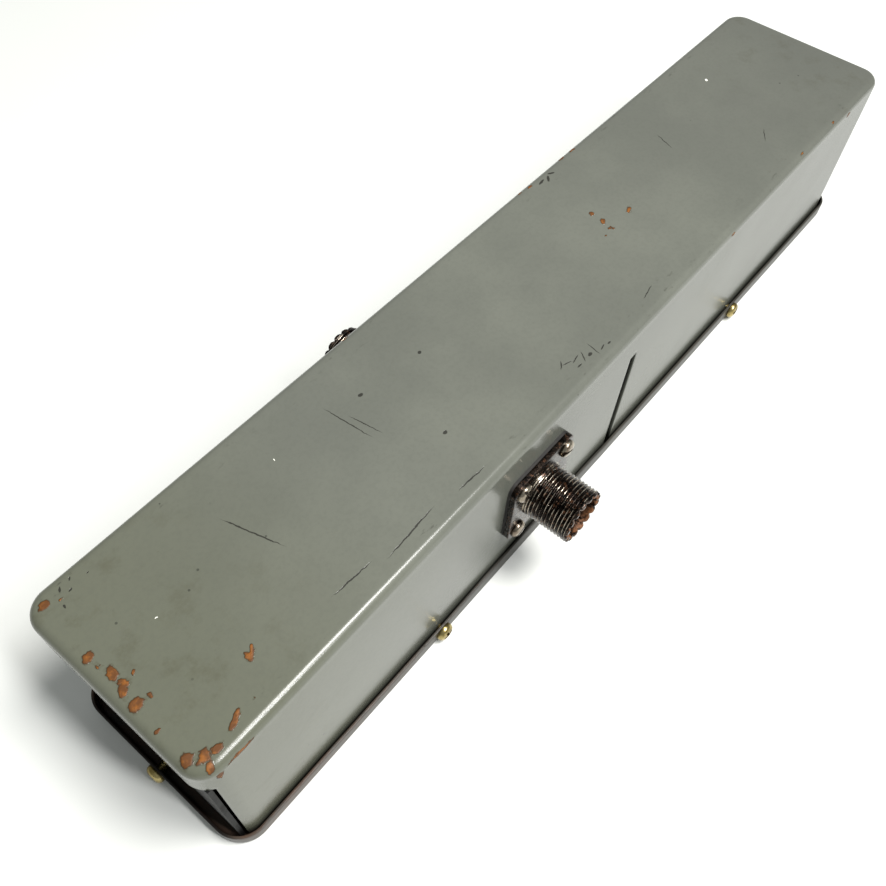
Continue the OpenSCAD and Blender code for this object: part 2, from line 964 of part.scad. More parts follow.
module rotor_plates() {
    color([0.80, 0.81, 0.82])
        for (i = [0 : rotor_count - 1])
            translate([first_rotor_x + i * plate_pitch, cap_y, shaft_z])
                rotate([90, 0, 90])
                    linear_extrude(plate_t)
                        difference() {
                            union() {
                                intersection() {
                                    circle(rotor_r);
                                    translate([-rotor_r, -rotor_r])
                                        square([2 * rotor_r, rotor_r]);
                                }
                                circle(hub_r);
                            }
                            circle(shaft_r);
                        }
}

module rotor_spacers() {
    color([0.76, 0.64, 0.34])
        for (i = [0 : rotor_count - 2])
            difference() {
                x_rod(first_rotor_x + i * plate_pitch + plate_t, plate_pitch - plate_t,
                      spacer_r, cap_y, shaft_z);
                x_rod(first_rotor_x + i * plate_pitch, plate_pitch + 1, shaft_r, cap_y,
                      shaft_z);
            }
}

module rotor_wiper() {
    color([0.76, 0.64, 0.34])
        for (s = [-1, 1])
            translate([rear_plate_x - rotor_wiper_l, cap_y - rotor_wiper_w / 2,
                       shaft_z + s * (shaft_r + wheel_gap + wiper_t / 2) - wiper_t / 2])
                cube([rotor_wiper_l, rotor_wiper_w, wiper_t]);
}

module panel_bushings() {
    color([0.76, 0.64, 0.34])
        for (y = [coil_y, cap_y])
            difference() {
                union() {
                    x_rod(plate_x - chassis_t - bushing_flange_t, bushing_flange_t,
                          bushing_flange_r, y, shaft_z);
                    x_rod(plate_x - chassis_t, chassis_t + bushing_l, bushing_r, y, shaft_z);
                }
                x_rod(plate_x - 10, 20, shaft_r + running_gap, y, shaft_z);
            }
}

module panel_nuts() {
    color([0.66, 0.62, 0.52])
        for (y = [coil_y, cap_y])
            translate([plate_x, y, shaft_z])
                rotate([0, 90, 0])
                    difference() {
                        cylinder(h = panel_nut_t, r = panel_nut_r, $fn = 6);
                        translate([0, 0, -1])
                            cylinder(h = panel_nut_t + 2, r = bushing_r);
                    }
}

module knob(y) {
    color([0.08, 0.08, 0.08])
        difference() {
            union() {
                x_rod(knob_x, knob_skirt_l, knob_d / 2, y, shaft_z);
                x_rod(knob_x, knob_l, knob_cap_r, y, shaft_z);
            }
            x_rod(knob_x - 1, knob_bore_l + 1, shaft_r, y, shaft_z);
            translate([set_screw_x, y, shaft_z])
                cylinder(h = knob_d, r = set_screw_r);
        }
}

module knob_screw(y) {
    color([0.45, 0.45, 0.46])
        translate([set_screw_x, y, shaft_z])
            difference() {
                cylinder(h = shaft_r + set_screw_l, r = set_screw_r);
                rotate([0, 90, 0])
                    cylinder(h = 4 * set_screw_r, r = shaft_r, center = true);
            }
}

module coil_knob() {
    knob(coil_y);
}

module coil_knob_screw() {
    knob_screw(coil_y);
}

module capacitor_knob() {
    knob(cap_y);
}

module capacitor_knob_screw() {
    knob_screw(cap_y);
}

top_cover();
bottom_tray();
tray_screws();
clinch_nuts();
chassis();
divider();
grommet();
output_shell();
output_gasket();
output_insulator();
output_contact();
output_screws();
output_nuts();
input_shell();
input_insulator();
input_contact();
input_screws();
input_nuts();
strip_bracket();
terminal_strip();
strip_lugs();
fixed_capacitor();
input_lead();
output_lead();
roller_lead();
coil_rear_bracket();
coil_front_bracket();
foot_screws();
coil_former();
coil_winding();
coil_shaft();
coil_collar();
coil_wiper();
contact_rod();
guide_rod();
contact_carriage();
contact_wheel();
capacitor_rear_plate();
capacitor_front_plate();
capacitor_tie_rods();
stator_insulators();
stator_rods();
stator_plates();
rotor_shaft();
rotor_plates();
rotor_spacers();
rotor_wiper();
panel_bushings();
panel_nuts();
coil_knob();
coil_knob_screw();
capacitor_knob();
capacitor_knob_screw();
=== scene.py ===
"""Antenna tuner in a long steel box: painted sheet metal, tarnished sockets and the works inside.

X runs along the box from the plain end to the control end, -Y is the output wall, Z is up.
Lengths in the settings are millimetres, and MM turns them into Blender's metres.
"""

import json
import math

import bmesh
import bpy
from mathutils import Matrix, Vector


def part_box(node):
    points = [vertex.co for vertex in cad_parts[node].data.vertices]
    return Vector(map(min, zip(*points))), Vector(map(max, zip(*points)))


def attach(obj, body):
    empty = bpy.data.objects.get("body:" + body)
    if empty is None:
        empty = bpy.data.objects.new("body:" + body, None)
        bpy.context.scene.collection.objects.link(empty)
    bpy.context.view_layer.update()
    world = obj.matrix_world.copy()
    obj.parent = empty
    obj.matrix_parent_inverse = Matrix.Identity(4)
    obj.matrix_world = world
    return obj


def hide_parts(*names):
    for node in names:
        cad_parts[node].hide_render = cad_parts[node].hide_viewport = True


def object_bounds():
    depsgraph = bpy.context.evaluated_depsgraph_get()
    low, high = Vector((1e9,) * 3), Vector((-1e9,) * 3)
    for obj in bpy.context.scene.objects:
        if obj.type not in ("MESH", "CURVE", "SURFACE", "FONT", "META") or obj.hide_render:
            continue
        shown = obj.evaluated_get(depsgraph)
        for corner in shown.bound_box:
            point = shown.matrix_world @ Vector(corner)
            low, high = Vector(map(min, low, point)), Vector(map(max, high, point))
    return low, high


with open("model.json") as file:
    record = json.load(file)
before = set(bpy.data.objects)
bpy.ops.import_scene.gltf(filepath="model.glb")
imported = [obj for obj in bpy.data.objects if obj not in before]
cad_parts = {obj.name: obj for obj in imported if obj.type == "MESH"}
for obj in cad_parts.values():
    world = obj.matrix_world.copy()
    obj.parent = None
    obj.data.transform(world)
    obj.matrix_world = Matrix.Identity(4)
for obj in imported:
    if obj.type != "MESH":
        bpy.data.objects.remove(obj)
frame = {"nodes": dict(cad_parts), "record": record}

CAD_LO, CAD_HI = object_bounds()
MM = 0.001

# Sheet metal
SHEET_T = 1.0
TRAY_SHEET_T = 0.7
COVER_CORNER_R = 6.5
COVER_BEND_R = 2.4
COVER_LIP = 10.5
WALL_INSET = 3.0
SLOT_X = 3.0
SLOT_W = 3.0
SLOT_DROP = 12.4
TRAY_CORNER_R = 8.0
TRAY_BEND_R = 1.5
EDGE_BEVEL = 0.18
BEND_STEPS = 8
FAR_OFF = 4.0
TRAY_SCREW_HOLE_R = 1.7

# Sockets
FLANGE_W = 25.4
FLANGE_T = 1.6
FLANGE_CORNER_R = 3.0
FLANGE_PITCH = 18.2
BARREL_R = 7.94
BARREL_L = 13.9
BOSS_L = 6.0
BORE_R = 6.2
SOCKET_HOLE_R = 8.2
NUT_HOLE_R = 10.2
FLANGE_HOLE_R = 1.6
THREAD_PITCH = 25.4 / 24
THREAD_DEPTH = 0.52
TEETH = 16
TOOTH_DEPTH = 0.7

# Controls and inductor
SHAFT_R = 3.175
BUSHING_R = 4.6
TURN_PITCH = 4.0
WIRE_R = 0.8


# ---------------------------------------------------------------- meshes

def new_object(name, verts, faces, edge_faces=(), inner_faces=()):
    """Mesh object from lists in millimetres; edges take material slot 1, insides slot 2."""
    mesh = bpy.data.meshes.new(name)
    groups = (faces, edge_faces, inner_faces)
    mesh.from_pydata([Vector(v) * MM for v in verts], [], [f for g in groups for f in g])
    slots = [slot for slot, group in enumerate(groups) for _ in group]
    mesh.polygons.foreach_set("material_index", slots)
    bm = bmesh.new()
    bm.from_mesh(mesh)
    bmesh.ops.recalc_face_normals(bm, faces=bm.faces)
    bm.to_mesh(mesh)
    bm.free()
    obj = bpy.data.objects.new(name, mesh)
    bpy.context.scene.collection.objects.link(obj)
    return obj


def bake(obj):
    """Replaces an object's mesh by the result of its modifiers."""
    graph = bpy.context.evaluated_depsgraph_get()
    graph.update()
    mesh = bpy.data.meshes.new_from_object(obj.evaluated_get(graph))
    obj.modifiers.clear()
    obj.data = mesh


def bevel(obj, width, segments=2, angle=40):
    mod = obj.modifiers.new("edges", "BEVEL")
    mod.width = width * MM
    mod.segments = segments
    mod.limit_method = "ANGLE"
    mod.angle_limit = math.radians(angle)


def cut(obj, cutter):
    """Cuts one object's shape out of another and removes the cutter."""
    mod = obj.modifiers.new("cut", "BOOLEAN")
    mod.operation = "DIFFERENCE"
    mod.solver = "EXACT"
    mod.object = cutter
    bake(obj)
    bpy.data.objects.remove(cutter)


def smooth(obj, angle=35):
    obj.data.shade_smooth()
    obj.data.set_sharp_from_angle(angle=math.radians(angle))


def join(name, parts):
    """One object from several that share a frame."""
    bm = bmesh.new()
    for part in parts:
        bm.from_mesh(part.data)
    mesh = bpy.data.meshes.new(name)
    bm.to_mesh(mesh)
    bm.free()
    for part in parts:
        bpy.data.objects.remove(part)
    obj = bpy.data.objects.new(name, mesh)
    bpy.context.scene.collection.objects.link(obj)
    return obj


def lathe(name, rings, steps=64):
    """Closed surface through rings, each a function of angle that gives (radius, height).

    The last ring joins the first, so the rings run once round the section."""
    verts = []
    for ring in rings:
        for i in range(steps):
            a = 2 * math.pi * i / steps
            r, z = ring(a)
            verts.append((r * math.cos(a), r * math.sin(a), z))
    faces = []
    count = len(rings)
    for j in range(count):
        k = (j + 1) % count
        for i in range(steps):
            n = (i + 1) % steps
            faces.append((j * steps + i, j * steps + n, k * steps + n, k * steps + i))
    return new_object(name, verts, faces)


def flat_ring(r, z):
    return lambda a: (r, z)


def dome(name, profile, steps=48):
    """Solid of revolution whose section starts and ends on the axis."""
    verts = [(0, 0, profile[0][1]), (0, 0, profile[-1][1])]
    inner = profile[1:-1]
    for r, z in inner:
        for i in range(steps):
            a = 2 * math.pi * i / steps
            verts.append((r * math.cos(a), r * math.sin(a), z))
    faces = []
    last = 2 + (len(inner) - 1) * steps
    for i in range(steps):
        n = (i + 1) % steps
        faces.append((0, 2 + i, 2 + n))
        faces.append((1, last + n, last + i))
        for j in range(len(inner) - 1):
            a = 2 + j * steps
            faces.append((a + i, a + steps + i, a + steps + n, a + n))
    return new_object(name, verts, faces)


def block(name, lo, hi):
    verts = [(x, y, z) for x in (lo[0], hi[0]) for y in (lo[1], hi[1]) for z in (lo[2], hi[2])]
    faces = [(0, 1, 3, 2), (4, 6, 7, 5), (0, 4, 5, 1), (2, 3, 7, 6), (0, 2, 6, 4), (1, 5, 7, 3)]
    return new_object(name, verts, faces)


def rod(name, r, z0, z1, steps=48):
    return dome(name, [(0, z0), (r, z0), (r, z1), (0, z1)], steps)


def place(obj, matrix):
    """Moves an object's mesh, so that its own frame stays the row frame."""
    obj.data.transform(matrix)
    return obj


def shift(x, y, z):
    return Matrix.Translation(Vector((x, y, z)) * MM)


# ---------------------------------------------------------------- sheet metal

def plan_ring(half_l, half_w, r, side_stops, end_stops, corner_stops):
    """Anchors and directions round a rounded rectangle, anticlockwise from the -Y side."""
    sx, sy = half_l - r, half_w - r
    ring = []
    sides = [
        ([(x, -sy) for x in side_stops], (0, -1), (sx, -sy), -90, 1),
        ([(sx, y) for y in end_stops], (1, 0), (sx, sy), 0, -1),
        ([(-x, sy) for x in side_stops], (0, 1), (-sx, sy), 90, 1),
        ([(-sx, -y) for y in end_stops], (-1, 0), (-sx, -sy), 180, -1),
    ]
    for anchors, direction, corner, start, turn in sides:
        ring += [(a, direction) for a in anchors]
        angles = corner_stops if turn > 0 else [90 - c for c in reversed(corner_stops)]
        for c in angles:
            a = math.radians(start + c)
            ring.append((corner, (math.cos(a), math.sin(a))))
    return ring


def sheet_shell(name, thick, ring, profile, xs, ys, is_open):
    """Pressed sheet: profile rows of (radius, height, outward radius, outward height).

    The last row closes on a flat grid over xs and ys. is_open tells which wall quads are
    left out; every cut edge is closed across the sheet."""
    outer, inner, index = [], [], {}

    def vertex(x, y, z, dx, dy, dz):
        key = (round(x, 4), round(y, 4), round(z, 4))
        if key not in index:
            index[key] = len(outer)
            outer.append((x, y, z))
            inner.append((x - dx * thick, y - dy * thick, z - dz * thick))
        return index[key]

    rows = [[vertex(ax + dx * r, ay + dy * r, z, dx * nr, dy * nr, nz)
             for (ax, ay), (dx, dy) in ring] for r, z, nr, nz in profile]
    flat_z, flat_n = profile[-1][1], profile[-1][3]
    flat = [[vertex(x, y, flat_z, 0, 0, flat_n) for x in xs] for y in ys]
    quads = []
    for low, high in zip(rows, rows[1:]):
        quads += zip(low, low[1:] + low[:1], high[1:] + high[:1], high)
    for low, high in zip(flat, flat[1:]):
        quads += zip(low, low[1:], high[1:], high)
    faces = []
    for quad in quads:
        middle = [sum(outer[v][k] for v in quad) / 4 for k in range(3)]
        corners = tuple(dict.fromkeys(quad))
        if len(corners) > 2 and not is_open(*middle):
            faces.append(corners)
    uses = {}
    for face in faces:
        for a, b in zip(face, face[1:] + face[:1]):
            uses.setdefault(frozenset((a, b)), []).append((a, b))
    lone = [pairs[0] for pairs in uses.values() if len(pairs) == 1]
    size = len(outer)
    back = [tuple(v + size for v in reversed(face)) for face in faces]
    walls = [(b, a, a + size, b + size) for a, b in lone]
    obj = new_object(name, outer + inner, faces, walls, back)
    bm = bmesh.new()
    bm.from_mesh(obj.data)
    loose = [v for v in bm.verts if not v.link_faces]
    bmesh.ops.delete(bm, geom=loose, context="VERTS")
    bm.to_mesh(obj.data)
    bm.free()
    return obj


def bend_rows(r, top, e, up):
    """Profile rows round a bend of radius e, up to a top face or down to a bottom face."""
    rows = []
    for k in range(BEND_STEPS + 1):
        a = math.radians(90 * k / BEND_STEPS)
        rows.append((r - e + e * math.cos(a), top + up * (e * math.sin(a) - e),
                     math.cos(a), up * math.sin(a)))
    return rows


def steps_between(lo, hi, count):
    return [lo + (hi - lo) * k / count for k in range(count + 1)]


def mark(obj, name, places):
    """Stores on each point how far it is, in their own radii, from the nearest ellipsoid.

    A place is (centre, radii, turn about Z in degrees)."""
    reach = []
    for v in obj.data.vertices:
        point = v.co / MM
        nearest = FAR_OFF
        for (cx, cy, cz), (rx, ry, rz), turn in places:
            dx, dy, dz = point.x - cx, point.y - cy, point.z - cz
            if abs(dx) + abs(dy) + abs(dz) > FAR_OFF * (rx + ry + rz):
                continue
            c, s = math.cos(math.radians(turn)), math.sin(math.radians(turn))
            across = ((dx * c + dy * s) / rx, (dy * c - dx * s) / ry, dz / rz)
            nearest = min(nearest, math.hypot(*across))
        reach.append(nearest)
    obj.data.attributes.new(name, "FLOAT", "POINT").data.foreach_set("value", reach)


def hole_cutters(spots, r, direction, both=True):
    """Pins through both walls or both ends at the given spots, or through the +Y wall only."""
    reach = 100 if direction == "Y" else 400
    turn = Matrix.Rotation(math.radians(90), 4, "X" if direction == "Y" else "Y")
    pins = []
    for x, y, z in spots:
        pin = rod("pin", r, -reach, reach if both else 0, 32)
        pins.append(place(pin, shift(x, y, z) @ turn))
    return join("pins", pins)


def make_cover(socket_x, socket_z, screw_x, screw_z):
    lo, hi = (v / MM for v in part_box("top_cover"))
    half_l, half_w, top = hi.x, hi.y, hi.z
    wall_end = half_l - WALL_INSET
    slot_top = top - SLOT_DROP
    lip_z = top - COVER_LIP
    inner_x, inner_y = half_l - COVER_CORNER_R, half_w - COVER_CORNER_R
    slot_lo, slot_hi = SLOT_X - SLOT_W / 2, SLOT_X + SLOT_W / 2
    split = math.degrees(math.asin((wall_end - inner_x) / COVER_CORNER_R))
    corner = steps_between(0, split, 5)[:-1] + steps_between(split, 90, 9)
    right = steps_between(slot_hi, inner_x, 140)
    middle = steps_between(-slot_hi, -slot_lo, 3)[:-1] + steps_between(-slot_lo, slot_lo, 3)
    xs = [-x for x in reversed(right[1:])] + middle + steps_between(slot_lo, slot_hi, 3)[1:]
    xs += right[1:]
    ys = steps_between(-inner_y, inner_y, 44)
    ring = plan_ring(half_l, half_w, COVER_CORNER_R, xs[1:-1], ys[1:-1], corner)
    heights = (lo.z, 6, 14, 24, 36, slot_top, lip_z, 48.4, 50, 51.5, 53, 54.3)
    profile = [(COVER_CORNER_R, z, 1, 0) for z in heights]
    profile += bend_rows(COVER_CORNER_R, top, COVER_BEND_R, 1)
    flat_r = COVER_CORNER_R - COVER_BEND_R
    profile += [(flat_r * k / 5, top, 0, 1) for k in (4, 3, 2, 1, 0)]

    def is_open(x, y, z):
        if z > lip_z:
            return False
        in_slot = y < 0 and slot_lo < x < slot_hi and z < slot_top
        return abs(x) > wall_end or in_slot

    cover = sheet_shell("cover", SHEET_T, ring, profile, xs, ys, is_open)
    bevel(cover, EDGE_BEVEL)
    bake(cover)
    cut(cover, hole_cutters([(socket_x, 0, socket_z)], SOCKET_HOLE_R, "Y"))
    cut(cover, hole_cutters([(socket_x, 0, socket_z)], NUT_HOLE_R, "Y", both=False))
    cut(cover, hole_cutters([(socket_x + x, 0, socket_z + z) for x, z in socket_spots()],
                            FLANGE_HOLE_R, "Y"))
    cut(cover, hole_cutters([(s * screw_x, 0, screw_z) for s in (-1, 1)],
                            TRAY_SCREW_HOLE_R, "Y"))
    mark(cover, "chips", on_top(TOP_CHIPS) + on_wall(WALL_CHIPS))
    smooth(cover)
    return cover


def rim_lean(x, z, rim_h):
    """How far a rim pulls in towards the wall between its screws."""
    height = max(0.0, z / rim_h)
    side = 0.4 * math.sin(math.pi * min(1, -x / 75)) ** 0.7 if -75 < x < 0 else 0.02
    ragged = 0.05 * math.sin(x * 0.19) * math.sin(x * 0.051 + 1)
    return height * (side + abs(ragged))


def make_tray(screw_x, screw_z):
    half_l, half_w, rim_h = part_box("bottom_tray")[1] / MM
    inner_x = half_l - TRAY_CORNER_R
    xs = steps_between(-inner_x, inner_x, 100)
    ys = steps_between(-half_w + TRAY_CORNER_R, half_w - TRAY_CORNER_R, 16)
    ring = plan_ring(half_l, half_w, TRAY_CORNER_R, xs[1:-1], ys[1:-1],
                     steps_between(0, 90, 12))
    profile = [(TRAY_CORNER_R, z, 1, 0) for z in (rim_h, 4.5, 3)]
    profile += bend_rows(TRAY_CORNER_R, 0, TRAY_BEND_R, -1)
    profile += [((TRAY_CORNER_R - TRAY_BEND_R) * k / 3, 0, 0, -1) for k in (2, 1, 0)]
    tray = sheet_shell("tray", TRAY_SHEET_T, ring, profile, xs, ys, lambda x, y, z: False)
    for v in tray.data.vertices:
        x, y, z = v.co / MM
        if abs(y) > half_w - 3 and abs(x) < inner_x:
            lean = rim_lean(x, z, rim_h)
            v.co.y -= math.copysign(lean * MM, y)
    bevel(tray, EDGE_BEVEL)
    bake(tray)
    cut(tray, hole_cutters([(s * screw_x, 0, screw_z) for s in (-1, 1)],
                           TRAY_SCREW_HOLE_R, "Y"))
    cut(tray, hole_cutters([(0, 0, screw_z)], TRAY_SCREW_HOLE_R, "X"))
    smooth(tray)
    return tray


# ---------------------------------------------------------------- fasteners

def thread_radius(r, depth, pitch, z, a):
    """Radius of a V thread at a height and angle, with rounded crests and roots."""
    phase = (z / pitch - a / (2 * math.pi)) % 1
    wave = abs(2 * phase - 1)
    return r - depth * (3 * wave * wave - 2 * wave ** 3)


def thread_rows(r, depth, pitch, z0, z1, per_turn):
    """Rings of a thread whose first and last turns fade into a plain cylinder."""
    count = max(4, round((z1 - z0) / pitch * per_turn))
    rows = []
    for k in range(count + 1):
        z = z0 + (z1 - z0) * k / count
        fade = min(1, (z - z0) / pitch, (z1 - z) / pitch * 2)
        rows.append(lambda a, z=z, f=fade: (thread_radius(r, depth * f, pitch, z, a), z))
    return rows


def pan_head(name, r, h, shank_r, shank_l, recess):
    """Pan-head screw standing on z = 0, with a cross or a slot in its head."""
    arc = [(r * math.cos(math.radians(a)) ** 0.6, h * (0.25 + 0.75 * math.sin(math.radians(a))))
           for a in range(0, 86, 6)]
    head = dome(name + "_head", [(0, 0), (r * 0.97, 0), (r, 0.08 * h)] + arc[:-1] + [(0, h)], 48)
    width = 0.16 * r
    long = 0.58 * r if recess == "cross" else 1.2 * r
    bars = [((-long, -width), (long, width))]
    if recess == "cross":
        bars.append(((-width, -long), (width, long)))
    for (x0, y0), (x1, y1) in bars:
        cut(head, block("bar", (x0, y0, 0.45 * h), (x1, y1, 1.5 * h)))
    shank = lathe(name + "_shank", [flat_ring(0.02, 0.3 * h), flat_ring(0.02, -shank_l),
                                    flat_ring(shank_r * 0.8, -shank_l)]
                  + thread_rows(shank_r, 0.22, 0.7, 0.3 - shank_l, -0.1, 6)
                  + [flat_ring(shank_r, 0.3 * h)], 24)
    return join(name, [head, shank])


def hex_nut(name, corner_r, height, bore_r, steps=72):
    """Nut with chamfered corners, standing on z = 0."""
    apothem = corner_r * math.cos(math.radians(30))

    def hex_radius(a):
        local = (math.degrees(a) % 60) - 30
        return apothem / math.cos(math.radians(local))

    def chamfer(a):
        return 0.45 * (hex_radius(a) - apothem)

    rings = [
        flat_ring(bore_r + 0.15, 0),
        flat_ring(apothem * 0.97, 0),
        lambda a: (hex_radius(a), chamfer(a) + 0.05),
        lambda a: (hex_radius(a), height - chamfer(a) - 0.05),
        flat_ring(apothem * 0.97, height),
        flat_ring(bore_r + 0.15, height),
        flat_ring(bore_r, height - 0.25),
        flat_ring(bore_r, 0.25),
    ]
    return lathe(name, rings, steps)


def repeated(name, make, matrices):
    """Copies of one made shape, each turned and moved by its matrix, as one object."""
    return join(name, [place(make(f"{name}_{k}"), m) for k, m in enumerate(matrices)])


# ---------------------------------------------------------------- sockets

def tooth_drop(a):
    """Depth of the notches round a socket's rim at an angle: narrow gaps, rounded teeth."""
    phase = (a / (2 * math.pi) * TEETH) % 1
    ridge = abs(2 * phase - 1)
    return TOOTH_DEPTH * max(0.0, 1 - (1 - ridge) / 0.6) ** 1.3


def make_shell(name):
    """Flange and threaded barrel with a toothed rim, built along +Z from the flange's back."""
    tip = FLANGE_T + BARREL_L
    crown = tip - TOOTH_DEPTH
    rows = [flat_ring(BORE_R, -BOSS_L), flat_ring(BARREL_R, -BOSS_L),
            flat_ring(BARREL_R, FLANGE_T), flat_ring(BARREL_R - 0.15, FLANGE_T + 0.4)]
    rows += thread_rows(BARREL_R, THREAD_DEPTH, THREAD_PITCH, FLANGE_T + 0.6, crown - 0.25, 8)
    rim_r = BARREL_R - 0.2
    rows += [lambda a: (rim_r, crown - 0.1),
             lambda a: (rim_r, tip - 0.2 - tooth_drop(a) * 0.9),
             lambda a: (rim_r - 0.2, tip - tooth_drop(a)),
             lambda a: (BORE_R + 0.35, tip - tooth_drop(a)),
             lambda a: (BORE_R + 0.05, tip - 0.25 - tooth_drop(a) * 0.85),
             flat_ring(BORE_R, crown - 0.3)]
    barrel = lathe(name + "_barrel", rows, 192)
    half = FLANGE_W / 2
    corners = plan_ring(half, half, FLANGE_CORNER_R, [0], [0], steps_between(0, 90, 8))
    outline = [(ax + dx * FLANGE_CORNER_R, ay + dy * FLANGE_CORNER_R)
               for (ax, ay), (dx, dy) in corners]
    count = len(outline)
    verts = [(x, y, z) for z in (0, FLANGE_T) for x, y in outline]
    faces = [tuple(reversed(range(count))), tuple(range(count, 2 * count))]
    faces += [(i, (i + 1) % count, (i + 1) % count + count, i + count) for i in range(count)]
    flange = new_object(name + "_flange", verts, faces)
    bevel(flange, 0.25, 3)
    bake(flange)
    cut(flange, rod("centre", BARREL_R - 0.6, -1, 3, 64))
    pins = [place(rod("pin", FLANGE_HOLE_R, -1, 3, 32), shift(x, y, 0))
            for x, y in socket_spots()]
    cut(flange, join("pins", pins))
    shell = join(name, [barrel, flange])
    smooth(shell, 45)
    return shell


def make_insulator(name):
    """Moulded insulator with a raised collar round the centre contact."""
    front = 7.0
    contact_r = 2.7
    rows = [(1.3, -BOSS_L), (BORE_R, -BOSS_L), (BORE_R, front - 1.2), (BORE_R - 0.3, front - 0.9),
            (BORE_R - 1.2, front - 0.9), (BORE_R - 1.5, front - 0.6), (BORE_R - 1.5, front - 0.15),
            (BORE_R - 1.65, front), (contact_r + 0.15, front), (contact_r, front - 0.15),
            (contact_r, -5.0), (1.3, -5.0)]
    insulator = lathe(name, [flat_ring(r, z) for r, z in rows], 64)
    smooth(insulator)
    return insulator


def make_contact(name):
    """Split centre contact with its solder tail."""
    tail = lathe(name + "_tail", [flat_ring(0.02, -12), flat_ring(1.1, -12), flat_ring(1.3, -11.8),
                                  flat_ring(1.3, -4.6), flat_ring(0.02, -4.6)], 32)
    rows = [(0.02, -3), (2.0, -3), (2.0, 9.5), (2.3, 10), (2.55, 10), (2.7, 9.7), (2.7, -5),
            (0.02, -5)]
    tube = lathe(name + "_tube", [flat_ring(r, z) for r, z in rows], 64)
    for turn in (0, 90):
        saw = block("saw", (-3.5, -0.25, 4.5), (3.5, 0.25, 11))
        cut(tube, place(saw, Matrix.Rotation(math.radians(turn + 20), 4, "Z")))
    contact = join(name, [tube, tail])
    smooth(contact)
    return contact


def socket_spots():
    pitch = FLANGE_PITCH / 2
    return [(a * pitch, b * pitch) for a in (-1, 1) for b in (-1, 1)]


def make_socket(side, flange_back, out, head_z, nut_z):
    """All new pieces of one socket; out is +1 for the +Y wall and -1 for the -Y wall."""
    lo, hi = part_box(side + "_shell")
    centre = Vector(((lo.x + hi.x) / 2, flange_back * MM, (lo.z + hi.z) / 2))
    turn = Matrix.Rotation(math.radians(-90 * out), 4, "X")
    frame_matrix = Matrix.Translation(centre) @ turn
    pieces = {"shell": make_shell(side + "_shell_piece"),
              "insulator": make_insulator(side + "_insulator_piece"),
              "contact": make_contact(side + "_contact_piece")}
    shank = head_z - nut_z + 3.0
    turns = [25, 110, 70, 160]
    heads = [shift(x, y, head_z) @ Matrix.Rotation(math.radians(turns[k]), 4, "Z")
             for k, (x, y) in enumerate(socket_spots())]
    pieces["screws"] = repeated(
        side + "_screws_piece", lambda n: pan_head(n, 2.6, 1.7, 1.4, shank, "slot"), heads)
    nuts = [shift(x, y, nut_z - 2.2) @ Matrix.Rotation(math.radians(13 * k), 4, "Z")
            for k, (x, y) in enumerate(socket_spots())]
    pieces["nuts"] = repeated(
        side + "_nuts_piece", lambda n: hex_nut(n, 2.9, 2.2, 1.4), nuts)
    for part, obj in pieces.items():
        if part in ("screws", "nuts"):
            smooth(obj)
        obj.matrix_world = frame_matrix
        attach(obj, "case")
        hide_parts(f"{side}_{part}")
    return pieces


# ---------------------------------------------------------------- inside and controls

def make_tray_screws():
    lo, hi = (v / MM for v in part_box("tray_screws"))
    tray_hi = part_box("bottom_tray")[1] / MM
    head_r, head_h = 2.7, 2.0
    z = (lo.z + hi.z) / 2
    out = along_x()
    matrices = []
    turn = 15
    for sx in (-1, 1):
        for sy in (-1, 1):
            matrices.append(shift(sx * TRAY_SCREW_X, sy * tray_hi.y, z)
                            @ Matrix.Rotation(math.radians(sy * 90), 4, "Z") @ out
                            @ Matrix.Rotation(math.radians(turn), 4, "Z"))
            turn += 27
        matrices.append(shift(sx * tray_hi.x, 0, z)
                        @ Matrix.Rotation(math.radians(0 if sx > 0 else 180), 4, "Z") @ out
                        @ Matrix.Rotation(math.radians(turn), 4, "Z"))
    screws = repeated("tray_screws_piece",
                      lambda n: pan_head(n, head_r, head_h, 1.5, 7.5, "cross"), matrices)
    smooth(screws)
    return screws


def make_winding():
    """Bare wire wound on the former: a left-hand helix with flattened ends."""
    lo, hi = (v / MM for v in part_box("coil_winding"))
    centre_y, centre_z = (lo.y + hi.y) / 2, (lo.z + hi.z) / 2
    radius = (hi.z - lo.z) / 2 - WIRE_R
    x0, x1 = lo.x + WIRE_R, hi.x - WIRE_R
    per_turn = 40
    sides = 10
    total = round((x1 - x0) / TURN_PITCH * per_turn)
    verts = []
    for k in range(total + 1):
        a = math.radians(90) - 2 * math.pi * k / per_turn
        out = Vector((0, math.cos(a), math.sin(a)))
        base = Vector((x0 + TURN_PITCH * k / per_turn, centre_y, centre_z)) + out * radius
        for s in range(sides):
            b = 2 * math.pi * s / sides
            verts.append(base + out * WIRE_R * math.cos(b) + Vector((WIRE_R * math.sin(b), 0, 0)))
    faces = [tuple(range(sides)), tuple(total * sides + s for s in range(sides))]
    for k in range(total):
        for s in range(sides):
            n = (s + 1) % sides
            a = k * sides
            faces.append((a + s, a + n, a + sides + n, a + sides + s))
    winding = new_object("winding_piece", verts, faces)
    smooth(winding, 60)
    return winding


